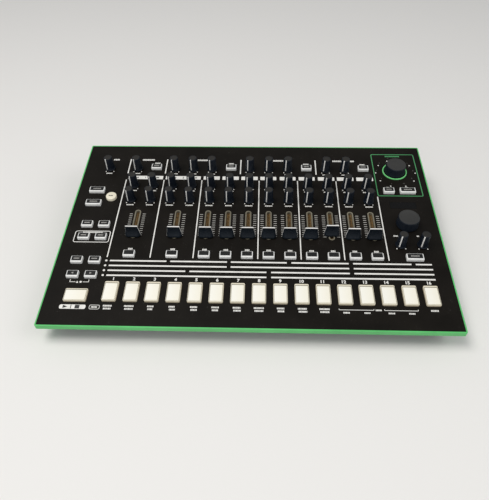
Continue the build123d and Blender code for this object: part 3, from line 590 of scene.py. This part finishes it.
# dark blocks and numbers on the name bars and the pill
dark_ink = ink("dark_ink", (0.02, 0.02, 0.02), tone=0.1)
dark = Shape(INK - OVERLAP, INK + OVERPRINT)
name_middle = (name_low + name_high) / 2
for i, (left, right) in enumerate(name_bars):
    middle = (left + right) / 2
    dark.number(str(i + 1), middle, name_middle, 4.2)
    if right - left > 30:
        dark.label(middle - 12, name_middle, 9, 2, i)
        dark.label(middle + 12, name_middle, 9, 2, i + 1)
dark.fill([(-178, -110), (-173.4, -108.2), (-178, -106.4)])
dark.fill(bar(-170.6, -169.8, -110.2, -106.2))
dark.fill(bar(-166.4, -161.9, -110.2, -106.2))
dark.print_on("bar_print", dark_ink)

# green frame and mark round the upper dial
green_ink = ink("green_ink", (0.060, 0.29, 0.105), smudge=0.05, dust=0.1)
green = Shape()
green.frame_line(141, 192, 45.5, 117, 1, 2.2)
green.label(166.3, 113.2, 17, 2.4, 1)
green.print_on("dial_frame_print", green_ink)


def grown(name, tree, places, level=0, **inputs):
    """Plain mesh that a geometry tree grows from these places, level millimetres over the panel."""
    made = mesh_object(name, [on_panel(x, y, level) for x, y in places], [], [])
    modifier = made.modifiers.new(name, "NODES")
    modifier.node_group = tree
    inputs["Slope"] = panel_slope
    for item in tree.interface.items_tree:
        key = item.name.replace(" ", "_")
        if item.in_out == "INPUT" and key in inputs:
            modifier[item.identifier] = inputs[key]
    mesh = evaluated_mesh(made)
    made.modifiers.remove(modifier)
    made.data = mesh
    return made


# rows of small bars: scales beside the faders and ticks beside the knobs
marks_tree, given, result = new_tree(
    "rows_of_marks",
    "GeometryNodeTree",
    {
        "Geometry": ("Geometry", None),
        "Count": ("Int", 1),
        "Spacing": ("Float", 0.003),
        "Mark Size": ("Vector", (0.003, 0.001, 0.00005)),
        "Slope": ("Float", 0.1),
        "Material": ("Material", None),
    },
    {"Geometry": "Geometry"},
)
step = node(marks_tree, "ShaderNodeCombineXYZ", Y=given["Spacing"])
line = node(marks_tree, "GeometryNodeMeshLine", Count=given["Count"], Offset=step)
mark = node(marks_tree, "GeometryNodeMeshCube", Size=given["Mark Size"])
row = node(marks_tree, "GeometryNodeInstanceOnPoints", Points=line, Instance=mark)
rows = node(
    marks_tree,
    "GeometryNodeInstanceOnPoints",
    Points=given["Geometry"],
    Instance=node(marks_tree, "GeometryNodeRealizeInstances", Geometry=row),
    Rotation=node(marks_tree, "ShaderNodeCombineXYZ", X=given["Slope"]),
)
real = node(marks_tree, "GeometryNodeRealizeInstances", Geometry=rows)
painted = node(marks_tree, "GeometryNodeSetMaterial", Geometry=real, Material=given["Material"])
feed(result["Geometry"], painted)


def marks_beside(name, places, offset, level, size, material, slot, **inputs):
    """Rows of bars on both sides of these places, as one piece on the case, in millimetres."""
    pairs = [(x + side * offset, y) for x, y in places for side in (-1, 1)]
    size = tuple(length * MM for length in size)
    made = grown(name, marks_tree, pairs, level, Mark_Size=size, Material=material, **inputs)
    on_case(made)


ink_middle, ink_thickness = (INK - SUNK) / 2, INK + SUNK
scale_offset, scale_start, scale_spacing = 7.1, -16.2, 3.05
marks_beside(
    "fader_scales", [(x, scale_start) for x in fader_columns], scale_offset, ink_middle,
    (3.4, 0.75, ink_thickness), scale_ink, "panel_black", Count=11, Spacing=scale_spacing * MM,
)
tick_offset, tick_drop = 4.5, 4.8
marks_beside(
    "knob_ticks", [(x, y - tick_drop) for x, y in strip_knobs + effect_knobs], tick_offset,
    ink_middle, (1, 1.3, ink_thickness), white_ink, "panel_black",
)

# ---- rim
# Bright green moulded frame round the panel, satin, with a fine grain, and scattered smudges,
# dust specks and faint scratches.

rim_paint = finish("rim_paint", (0.095, 0.50, 0.14), 0.38, grain=(2600, 15), smudge=0.12)
dress(rim_paint, "rim_frame")

# ---- bottom case
# Deep shell of black plastic with a spark-eroded grain, rubber feet glued under it, and long
# steel screws sunk in its posts.

case_plastic = finish(
    "case_plastic", (0.016, 0.0165, 0.017), 0.55, tone=0.2, grain=(1500, 60), smudge=0.1, dust=0.35
)
foot_rubber = finish("foot_rubber", (0.022, 0.022, 0.023), 0.75, tone=0.25, grain=(2200, 40), dust=0.5)
screw_steel = finish(
    "screw_steel", (0.42, 0.42, 0.41), 0.34, tone=0.1, grain=(4000, 10), dust=0.1, Metallic=1
)
dress(case_plastic, "bottom_case")
dress(foot_rubber, "rubber_feet")
dress(screw_steel, "screws")

# ---- boards and controls inside
# Green boards, black control bodies and bare metal bushes. They show only as glints through the
# slots and round the knobs' shafts.

board_green = finish(
    "board_green", (0.015, 0.09, 0.035), 0.4, tone=0.2, grain=(900, 30), smudge=0.05, dust=0.2
)
control_metal = finish(
    "control_metal", (0.50, 0.49, 0.46), 0.36, grain=(3000, 10), dust=0.1, Metallic=1
)
control_plastic = finish("control_plastic", (0.02, 0.02, 0.021), 0.5, tone=0.2)
dress(board_green, "control_board", "jack_board")
dress(control_metal, "rotary_pots", "slide_pots")
dress(control_plastic, "push_switches")

# ---- fader slots
# Tan plastic liners in the panel's slots, and under each a pair of brown felt strips that keep dust
# out. The strips nearly meet, and the fader's blade runs between them.

liner_plastic = finish(
    "liner_plastic", (0.16, 0.145, 0.105), 0.5, tone=0.2, grain=(2600, 10), smudge=0.1, dust=0.3
)
dress(liner_plastic, "fader_slot_liners")
slot_middle = -0.35
strip_size = (2.35, 41, 0.6)  # each strip's width, length and thickness
strip_offset, strip_level = 1.4, -2.5  # from the slot's middle line, and from the panel's top
brown_felt = finish(
    "brown_felt", (0.125, 0.072, 0.022), 0.9, tone=0.55, grain=(1400, 150), smudge=0, dust=0.5,
    tone_scale=420,
)
marks_beside(
    "slot_felts", [(x, slot_middle) for x in fader_columns], strip_offset, strip_level, strip_size,
    brown_felt, "slot_liner",
)

# ---- small knobs
# Tall round knobs of soft-touch dark plastic with a skirt at the foot, a dark grey disc let into
# the top, and a white pointer line moulded down the side. All are grown from one shape by a geometry
# tree, at the knobs' places on the panel.


def ring_of(radius, height, steps=48, x=0, y=0):
    """Round loop."""
    return [(*point, height) for point in circle(x, y, radius, steps)]


def rounded(width, depth, corner, height, shift=0):
    """Loop of a rounded rectangle, shifted towards the back."""
    outline = bar(-width / 2, width / 2, shift - depth / 2, shift + depth / 2, corner, 4)
    return [(*point, height) for point in outline]


material_names = ("First Material", "Second Material", "Third Material")
standing_tree, given, result = new_tree(
    "standing_shapes",
    "GeometryNodeTree",
    {
        "Geometry": ("Geometry", None),
        "Shape": ("Object", None),
        "Scale": ("Float", MM),
        "Slope": ("Float", 0.1),
        **{label: ("Material", None) for label in material_names},
    },
    {"Geometry": "Geometry"},
)
copied = node(standing_tree, "GeometryNodeObjectInfo", Object=given["Shape"])
stood = node(
    standing_tree,
    "GeometryNodeInstanceOnPoints",
    Points=given["Geometry"],
    Instance=copied.outputs["Geometry"],
    Rotation=node(standing_tree, "ShaderNodeCombineXYZ", X=given["Slope"]),
    Scale=given["Scale"],
)
part_number = node(standing_tree, "GeometryNodeInputNamedAttribute", Name="part")
part_number.data_type = "INT"
painted = node(standing_tree, "GeometryNodeRealizeInstances", Geometry=stood)
for number, label in enumerate(material_names):
    is_part = node(standing_tree, "FunctionNodeCompare")
    is_part.data_type = "INT"
    is_part.operation = "EQUAL"
    integers = [socket for socket in is_part.inputs if socket.type == "INT"]
    feed(integers[0], part_number)
    feed(integers[1], number)
    chosen = {"Selection": is_part, "Material": given[label]}
    painted = node(standing_tree, "GeometryNodeSetMaterial", Geometry=painted, **chosen)
feed(result["Geometry"], painted)


def pattern(shape, name, smooth=35, glow=None):
    """Hidden object that a tree copies, with each face's part and each point's painted share of lamp
    light kept.
    """
    made = shape.object(name, [], Matrix.Identity(4), smooth)
    parts = made.data.attributes.new("part", "INT", "FACE")
    parts.data.foreach_set("value", shape.parts)
    if glow:
        kept = made.data.attributes.new("glow", "FLOAT", "POINT")
        kept.data.foreach_set("value", glow)
    scene.collection.objects.unlink(made)
    return made


def stand(name, shape, places, materials, node_name=None, body=None):
    """Piece made of one shape at these panel places, in place of the CAD node with its name."""
    node_name = node_name or name
    made = grown(
        name,
        standing_tree,
        places,
        Shape=shape,
        First_Material=materials[0],
        Second_Material=materials[1],
        Third_Material=materials[-1],
    )
    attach(made, body or node_name)
    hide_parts(node_name)


def ribbon(shape, profile, width, proud, depth, turn, part):
    """Raised line that follows a profile of (out, up) points, turned about the upright axis."""
    outer, inner = [], []
    for i, (out, up) in enumerate(profile):
        before, after = profile[max(i - 1, 0)], profile[min(i + 1, len(profile) - 1)]
        along = Vector((after[0] - before[0], after[1] - before[1])).normalized()
        outer.append((out + along.y * proud, up - along.x * proud))
        inner.append((out - along.y * depth, up + along.x * depth))
    outline = outer + inner[::-1]
    cosine, sine = math.cos(turn), math.sin(turn)
    loops = [
        [(out * cosine - side * sine, out * sine + side * cosine, up) for out, up in outline]
        for side in (width / 2, -width / 2)
    ]
    shape.loft(loops, part)


soft_touch = {"tone": 0.15, "grain": (2800, 20), "smudge": 0.15, "dust": 0.2, "Specular_IOR_Level": 0.3}
knob_body = finish("knob_body", (0.0052, 0.0085, 0.015), 0.42, **soft_touch)
knob_top = finish(
    "knob_top", (0.022, 0.021, 0.019), 0.5, tone=0.1, grain=(3400, 20), dust=0.15,
    Specular_IOR_Level=0.25,
)
pointer_white = finish(
    "pointer_white", (0.78, 0.77, 0.74), 0.45, tone=0.06, grain=(2600, 10), smudge=0.1, dust=0.1
)

knob_shape = Shape()
knob_profile = (
    (5.55, 0.8), (5.75, 0.95), (5.75, 1.5), (5.62, 1.66), (5.14, 2.7), (5.02, 4.2), (4.52, 16.9),
    (4.40, 17.28), (4.16, 17.5), (3.85, 17.5), (3.8, 17.42),
)
knob_shape.loft([ring_of(r, z) for r, z in knob_profile], [0] * 10 + [1, 1])
pointer_turn = math.radians(240)  # where a knob turned fully down points
ribbon(knob_shape, knob_profile[4:9], 1.25, 0.12, 0.5, pointer_turn, 2)
knob_pattern = pattern(knob_shape, "knob_pattern", 30)
knob_finishes = (knob_body, knob_top, pointer_white)
stand("strip_knobs", knob_pattern, strip_knobs, knob_finishes, body="case")
for joint_name in joints:
    if joint_name.endswith("_knob_turn"):
        place = on_axis_of(joint_name)
        stand(joint_name.removesuffix("_turn"), knob_pattern, [place], knob_finishes)

# ---- dials
# Two large endless dials of the same dark plastic, with cone sides and a wide, softly dished grey
# top for a fingertip. Both are pushed on their controls' shafts from above.

dial_profile = (
    (11.6, 0.8), (11.8, 1), (11.8, 2.1), (11.68, 2.35), (11.15, 10.3), (11, 10.9), (10.55, 11.4),
    (8.7, 11.4), (8.35, 11.3), (7.4, 11.02), (5.2, 10.9), (2.6, 10.9),
)
dial_shape = Shape()
dial_shape.loft([ring_of(r, z, 96) for r, z in dial_profile], [0] * 7 + [1] * 6)
dial_pattern = pattern(dial_shape, "dial_pattern", 28)
dial_top = finish(
    "dial_top", (0.034, 0.034, 0.033), 0.45, tone=0.1, grain=(3400, 20), smudge=0.15,
    dust=0.15, Specular_IOR_Level=0.25,
)
for dial_name in ("scatter_dial", "tempo_dial"):
    place = on_axis_of(f"{dial_name}_turn")
    stand(dial_name, dial_pattern, [place], (knob_body, dial_top))

# ---- faders
# Fader caps: hollowed long faces up to a narrow ridge, and a white line moulded over the ridge and
# down both ends. The blade under each cap runs in the slot.

fader_row, raised_fader, raised_row = -16.6, 9, -12.6
base_width, base_depth = 16, 8
ridge_width, ridge_depth = 12.6, 2.6
cap_foot, cap_lip, cap_top, cap_hollow = 0.9, 2.5, 14, 1.1
ridge_corner, foot_corner = 0.5, 3.5


def cap_section(height):
    """Width, depth and corner radius of a cap at a height above the panel."""
    share = max(height - cap_lip, 0) / (cap_top - cap_lip)
    straight = base_depth + (ridge_depth - base_depth) * share
    depth = straight - 2 * cap_hollow * 4 * share * (1 - share)
    corner = ridge_corner + (foot_corner - ridge_corner) * (1 - share)
    return base_width + (ridge_width - base_width) * share, depth, min(corner, 0.46 * depth)


cap_shape = Shape()
cap_heights = [cap_lip + (cap_top - 0.45 - cap_lip) * i / 14 for i in range(15)]
cap_loops = [
    rounded(base_width - 0.3, base_depth - 0.3, foot_corner - 0.15, cap_foot),
    rounded(base_width, base_depth, foot_corner, cap_foot + 0.2),
    *[rounded(*cap_section(z), z) for z in cap_heights],
    rounded(ridge_width - 0.25, ridge_depth - 0.3, ridge_corner, cap_top - 0.12),
    rounded(ridge_width - 0.8, ridge_depth - 0.9, 0.4, cap_top),
]
cap_shape.loft(cap_loops)
ridge_end = [
    (ridge_width / 2, cap_top - 0.9), (ridge_width / 2, cap_top - 0.5),
    (ridge_width / 2 - 0.12, cap_top - 0.12), (ridge_width / 2 - 0.5, cap_top),
]
ridge_line = ridge_end + [(-out, up) for out, up in reversed(ridge_end)]
ribbon(cap_shape, ridge_line, 1.25, 0.1, 0.35, 0, 1)
line_heights = (cap_foot + 0.3, cap_lip, 5, 9, 12.8, cap_top - 0.7)
side_line = [(cap_section(z)[0] / 2, z) for z in line_heights]
for turn in (0, math.pi):
    ribbon(cap_shape, side_line, 0.8, 0.06, 0.35, turn, 1)
blade_width, blade_depth, blade_foot = 1.4, 5, -11.2
cap_shape.loft([rounded(blade_width, blade_depth, 0, z) for z in (blade_foot, cap_foot + 0.5)], 2)
cap_pattern = pattern(cap_shape, "cap_pattern", 32)
fader_cap = finish("fader_cap", (0.0048, 0.0088, 0.0145), 0.42, **soft_touch)
cap_finishes = (fader_cap, pointer_white, control_metal)
for number, x in enumerate(fader_columns, start=1):
    row = raised_row if number == raised_fader else fader_row
    stand(f"fader_{number}", cap_pattern, [(x, row)], cap_finishes)

# ---- buttons
# Caps of clear white plastic that stand through the panel, with a black block printed on top of
# most, and a few pale blocks or an arrow on it. The round one is milky and lit.

button_white, shader, surface = grained("button_white", (0.74, 0.74, 0.72), 0.4, (2600, 10), 120)
marks = use_group(shader, marks_group)
base = mixed(surface["Tone"], (0.66, 0.665, 0.65), (0.78, 0.78, 0.76))
dusty = math_node("MULTIPLY", marks["Dust"], 0.2)
feed_all(
    shader,
    Subsurface_Weight=0.15,
    Subsurface_Radius=(0.002, 0.002, 0.0018),
    Base_Color=mixed(dusty, base, (0.4, 0.38, 0.34)),
    Roughness=between(marks["Smudge"], 0, 1, 0.36, 0.5),
)
button_print = finish(
    "button_print", (0.008, 0.008, 0.008), 0.4, tone=0.2, grain=(2600, 8), smudge=0.15,
    dust=0.15, Specular_IOR_Level=0.35,
)
button_mark = ink("button_mark", (0.34, 0.33, 0.31))

# milky plastic of the lit keys: lamp light from below painted in, paler where more reaches it
# where less lamp light is set to reach, its colour is painted darker and tan: painted shade
pad_light, shader, surface = grained("pad_light", (0.78, 0.75, 0.66), 0.42, (2400, 10), 60)
painted_glow_node = node(pad_light.node_tree, "ShaderNodeAttribute")
painted_glow_node.attribute_name = "glow"
glow = painted_glow_node.outputs["Fac"]
lit = between(glow, 0, 1)
base = mixed(lit, (0.50, 0.46, 0.37), (0.77, 0.74, 0.61))
feed_all(
    shader,
    Base_Color=mixed(between(glow, 0.72, 1), base, (0.76, 0.755, 0.71)),
    Emission_Color=mixed(lit, (0.95, 0.74, 0.40), (1, 0.93, 0.74)),
    Emission_Strength=0.12,
    Roughness=between(surface["Tone"], 0, 1, 0.38, 0.46),
)

key_foot = -2.2  # level inside the panel where every cap begins
key_depth, key_height, key_corner, key_bevel = 8, 3, 0.7, 0.5
small_width, wide_width = 12, 17.3
small_block, wide_block = 10.1, 15.2  # widths of the blocks printed on the two sizes of key
block_depth, block_shift = 5.6, 0.6  # a block lies a little to the back


def key_shape(width, block_width, words=0):
    """Cap from inside the panel to its bevelled top, with a printed block on it.

    words is the width of the row of pale blocks on the printed one."""
    insets = (
        (0, key_foot), (0, key_height - key_bevel),
        (0.6 * key_bevel, key_height - 0.35 * key_bevel), (2 * key_bevel, key_height),
    )
    made = Shape()
    made.loft([rounded(width - inset, key_depth - inset, key_corner, z) for inset, z in insets])
    levels = (key_height - SUNK, key_height + INK)
    made.loft([rounded(block_width, block_depth, 0.5, z, block_shift) for z in levels], 1)
    made.low, made.high = key_height + INK - OVERLAP, key_height + INK + OVERPRINT
    if words:
        made.label(0, block_shift, words, 1.5, int(words), 2)
    return made


def arrow_key(side):
    """Small key whose block carries an arrow, to the left for -1 and to the right for 1."""
    made = key_shape(small_width, small_block)
    tail, half = -1 * side, 1.2 * side
    made.fill([(1.3 * side, block_shift), (tail, block_shift + half), (tail, block_shift - half)], 2)
    return made


plain_pattern = pattern(key_shape(small_width, small_block), "plain_key")
small_pattern = pattern(key_shape(small_width, small_block, 5.8), "small_key")
wide_pattern = pattern(key_shape(wide_width, wide_block, 8.4), "wide_key")
left_arrow_pattern = pattern(arrow_key(-1), "left_arrow_key")
right_arrow_pattern = pattern(arrow_key(1), "right_arrow_key")
round_radius, round_glow = 5.9, 0.62
round_shape = Shape(key_height - SUNK, key_height + INK)
round_levels = ((0, key_foot), (0, 2.5), (0.15, 2.83), (0.5, key_height))
round_shape.loft([ring_of(round_radius - inset, z) for inset, z in round_levels])
round_shape.label(0, 0, 5.4, 1.3, 2, 1)
round_pattern = pattern(round_shape, "round_key", glow=[round_glow] * len(round_shape.vertices))

# banks of buttons, each on one CAD body: the pieces, the shape each copies, and their places
button_row, top_row, scatter_row, arrow_row = -43.1, 90, 53, -70.5
left_columns, left_rows = (-177, -158.7), (-2.5, -20.2, -52)
banks = {
    "channel_buttons": [("channel_keys", plain_pattern, [(x, button_row) for x in fader_columns])],
    "effect_buttons": [
        ("effect_keys", small_pattern, [(columns[k], top_row) for k in (1, 5, 9, 12)]),
        ("scatter_key", small_pattern, [(154.1, scatter_row)]),
        ("wide_effect_keys", wide_pattern, [(175.1, scatter_row), (166.7, -43.5)]),
    ],
    "mode_buttons": [
        ("mode_keys", small_pattern, [(x, y) for x in left_columns for y in left_rows]),
        ("left_arrow_key", left_arrow_pattern, [(left_columns[0], arrow_row)]),
        ("right_arrow_key", right_arrow_pattern, [(left_columns[1], arrow_row)]),
        ("wide_mode_keys", wide_pattern, [(left_columns[0], 50.1), (left_columns[0], 29.7)]),
        ("round_key", round_pattern, [(-158.8, 39.5)]),
    ],
}
for bank, members in banks.items():
    for part_name, shape, places in members:
        finishes = (button_white, button_print, button_mark)
        if shape == round_pattern:
            finishes = (pad_light, button_print)
        stand(part_name, shape, places, finishes, bank)

# ---- step pads and start button
# Large keys of milky plastic over warm white lamps, with a thin dark grey groove round each face.
# Painted shade: the rounded edges, the groove, the strip behind the face and the right side are darker.

lit_corner, lit_height, lit_bevel, face_corner = 1.2, 2.4, 0.5, 0.5
lit_border = lit_bevel + 0.4  # between a cap's side and its face


def lit_key(name, width, depth, strip):
    """Lit cap to copy, with a seam round its face, and behind the face a strip of this depth.

    Each point keeps a painted share of lamp light, which paints shade on the edges and the right side."""
    face_width, face_depth = width - 2 * lit_border, depth - lit_border - strip
    middle = (lit_border - strip) / 2

    def loop(side, back, height, corner=face_corner):
        """The face's outline, moved out by these margins at its sides and back."""
        shift = middle + (back - side) / 2
        return rounded(face_width + 2 * side, face_depth + side + back, corner, height, shift)

    rounding = 0.6 * lit_bevel
    # each loop with its painted share of lamp light; 0 in the groove paints it darkest
    loops = [
        (loop(lit_border, strip, key_foot, lit_corner), 0),
        (loop(lit_border, strip, lit_height - lit_bevel, lit_corner), 0.2),
        (loop(lit_border - rounding, strip - rounding, lit_height - 0.35 * lit_bevel, lit_corner), 0.65),
        (loop(0.32, 0.6, lit_height - 0.03), 0.85),
        (loop(0.25, 0.5, lit_height - 0.35), 0),
        (loop(0.06, 0.1, lit_height - 0.35), 0),
        (loop(0, 0, lit_height - 0.02), 0.85),
        (loop(-0.8, -0.8, lit_height), 1),
    ]
    made = Shape()
    made.loft([points for points, share in loops], [0, 0, 0, 0, 1, 1, 0, 0, 0])
    glow = []
    for points, share in loops:
        for x, y, z in points:
            # painted shade: the strip behind the face gets 0.6 of the share, and the right side down to
            # 0.8
            on_strip = y > middle + face_depth / 2 + 0.3
            glow.append(share * (0.6 if on_strip else 1) * (1 - 0.2 * (x / width + 0.5)))
    return pattern(made, name, 30, glow)


lit_finishes = (pad_light, ink("seam_grey", (0.05, 0.044, 0.034), smudge=0))
pad_pattern = lit_key("pad_pattern", 13.7, 22.8, 2.6)
for number, x in enumerate(pad_columns, start=1):
    stand(f"step_pad_{number}", pad_pattern, [(x, pad_row)], lit_finishes)
start_pattern = lit_key("start_pattern", 22, 14.4, 2)
start_place = (column_of("start_button"), start_row)
stand("start_button", start_pattern, [start_place], lit_finishes)

# ---- light ring
# Frosted green plastic ring let into the panel round the upper dial, with lamps under it that
# light it evenly. It stands a little above the paint.

ring_glow, shader, surface = grained("ring_glow", (0.14, 0.50, 0.18), 0.45, (2400, 10), 160)
feed_all(
    shader,
    Base_Color=mixed(surface["Tone"], (0.11, 0.45, 0.14), (0.18, 0.56, 0.22)),
    Emission_Color=mixed(surface["Tone"], (0.10, 0.52, 0.13), (0.16, 0.66, 0.20)),
    Emission_Strength=0.2,
)
dress(ring_glow, "scatter_light_ring")

# ---- tempo display
# Smoked window, glossy and flush in the panel, over a digit module that is dark between readings.
# The module stands on the control board below it.

window_glass = finish(
    "window_glass", (0.0025, 0.0025, 0.0025), 0.12, tone=0.2, grain=(900, 3), smudge=0.1,
    dust=0.15, Specular_IOR_Level=0.2,
)
dress(window_glass, "tempo_display")

# ---- rear sockets and power switch
# Black moulded sockets along the back wall, with nickel nuts round the phone jacks and pressed
# sleeves in the round sockets, and a glossy rocker in its frame beside the power inlet.

socket_plastic = finish("socket_plastic", (0.02, 0.02, 0.021), 0.4, tone=0.2, grain=(2400, 20))
rocker_plastic = finish(
    "rocker_plastic", (0.018, 0.018, 0.019), 0.25, tone=0.15, grain=(2400, 10), smudge=0.2
)
dress(socket_plastic, "phone_jacks", "rear_sockets")
dress(rocker_plastic, "power_switch")
nickel = finish(
    "nickel", (0.60, 0.58, 0.54), 0.22, tone=0.08, grain=(5000, 4), smudge=0.12, dust=0.1,
    Metallic=1,
)
wall_ink = ink("wall_ink", (0.55, 0.54, 0.51), tone=0.12, grain=(1800, 10), dust=0.05)

back_wall, nose_face = 126.59, 128.19  # outer face of the case, and of the phone jacks' noses
jack_columns, jack_level = (-165, -135, -115, -75, -55, 15, 35), 22
din_columns, din_level = (80, 106), 24
usb_place, dc_place, power_place = (131.5, 20), (150, 20), (170, 24)

# stands a shape drawn in millimetres on the back wall, its top to the back
wall_matrix = Matrix(((-1, 0, 0, 0), (0, 0, 1, 0), (0, 1, 0, 0), (0, 0, 0, 1))) @ Matrix.Scale(MM, 4)


def pipe(shape, x, y, inner, outer, low, high, edge=0.15):
    """Short round tube, with its outer edges broken at the top."""
    section = (
        (outer, low), (outer, high - edge), (outer - edge, high), (inner + edge, high),
        (inner, high - edge), (inner, low),
    )
    count = 48
    starts = [count * k for k in range(len(section))]
    sides = [band(here, there, count) for here, there in zip(starts, starts[1:] + starts[:1])]
    shape.add(
        [point for radius, z in section for point in ring_of(radius, z, count, x, y)],
        [face for side in sides for face in side],
    )


def square_round(place, side, high, corner):
    """Outline of a rounded bar that reaches this far to each side of a place on the back wall."""
    x, y = -place[0], place[1]
    return bar(x - side, x + side, y - high, y + high, corner)


# nickel nut and bush round each phone jack, and a sleeve in each round socket
metal = Shape(back_wall - 8.6, back_wall + 0.1)
for x in jack_columns:
    pipe(metal, -x, jack_level, 3.25, 4.5, nose_face - 3, nose_face + 0.5)
for x in din_columns:
    pipe(metal, -x, din_level, 6.3, 6.7, back_wall - 7, back_wall + 0.1, 0.1)
# folded shell of the square socket, and the centre pin of the inlet
metal.line_round(square_round(usb_place, 4.2, 3.85, 0.4), square_round(usb_place, 3.9, 3.55, 0.3))
pin = [(0.9, back_wall - 9.6), (0.9, back_wall - 1.6), (0.5, back_wall - 1.2)]
metal.loft([ring_of(radius, z, 24, -dc_place[0], dc_place[1]) for radius, z in pin])
on_case(metal.object("rear_metal", [nickel], wall_matrix, 35))

# tongue of the square socket, and blocks on the wall where the sockets' names would be
tongue = Shape(back_wall - 8.9, back_wall - 1.2)
tongue.fill(square_round(usb_place, 2.6, 1.6, 0.2))
on_case(tongue.object("socket_tongue", [white_ink], wall_matrix))
names = Shape(back_wall - SUNK, back_wall + INK)
name_row, name_widths = 34.2, (7, 9, 9, 8, 8, 9, 9)
for i, (x, wide) in enumerate(zip(jack_columns, name_widths)):
    names.label(-x, name_row, wide, 1.6, i)
for x, y, wide, first in (
    (din_columns[0], 36, 6, 0), (din_columns[1], 36, 6, 1), (usb_place[0], name_row, 5, 1),
    (dc_place[0], name_row, 7, 2), (power_place[0], 38, 9, 3),
):
    names.label(-x, y, wide, 1.6, first)
# lines over the pairs of sockets that belong together
for right, left, reach, low in (
    (-135, -115, 6, 36.5), (-75, -55, 6, 36.5), (15, 35, 6, 36.5), (*din_columns, 7, 38.2)
):
    names.fill(bar(-left - reach, -right + reach, low, low + 0.4))
on_case(names.object("wall_print", [wall_ink], wall_matrix))
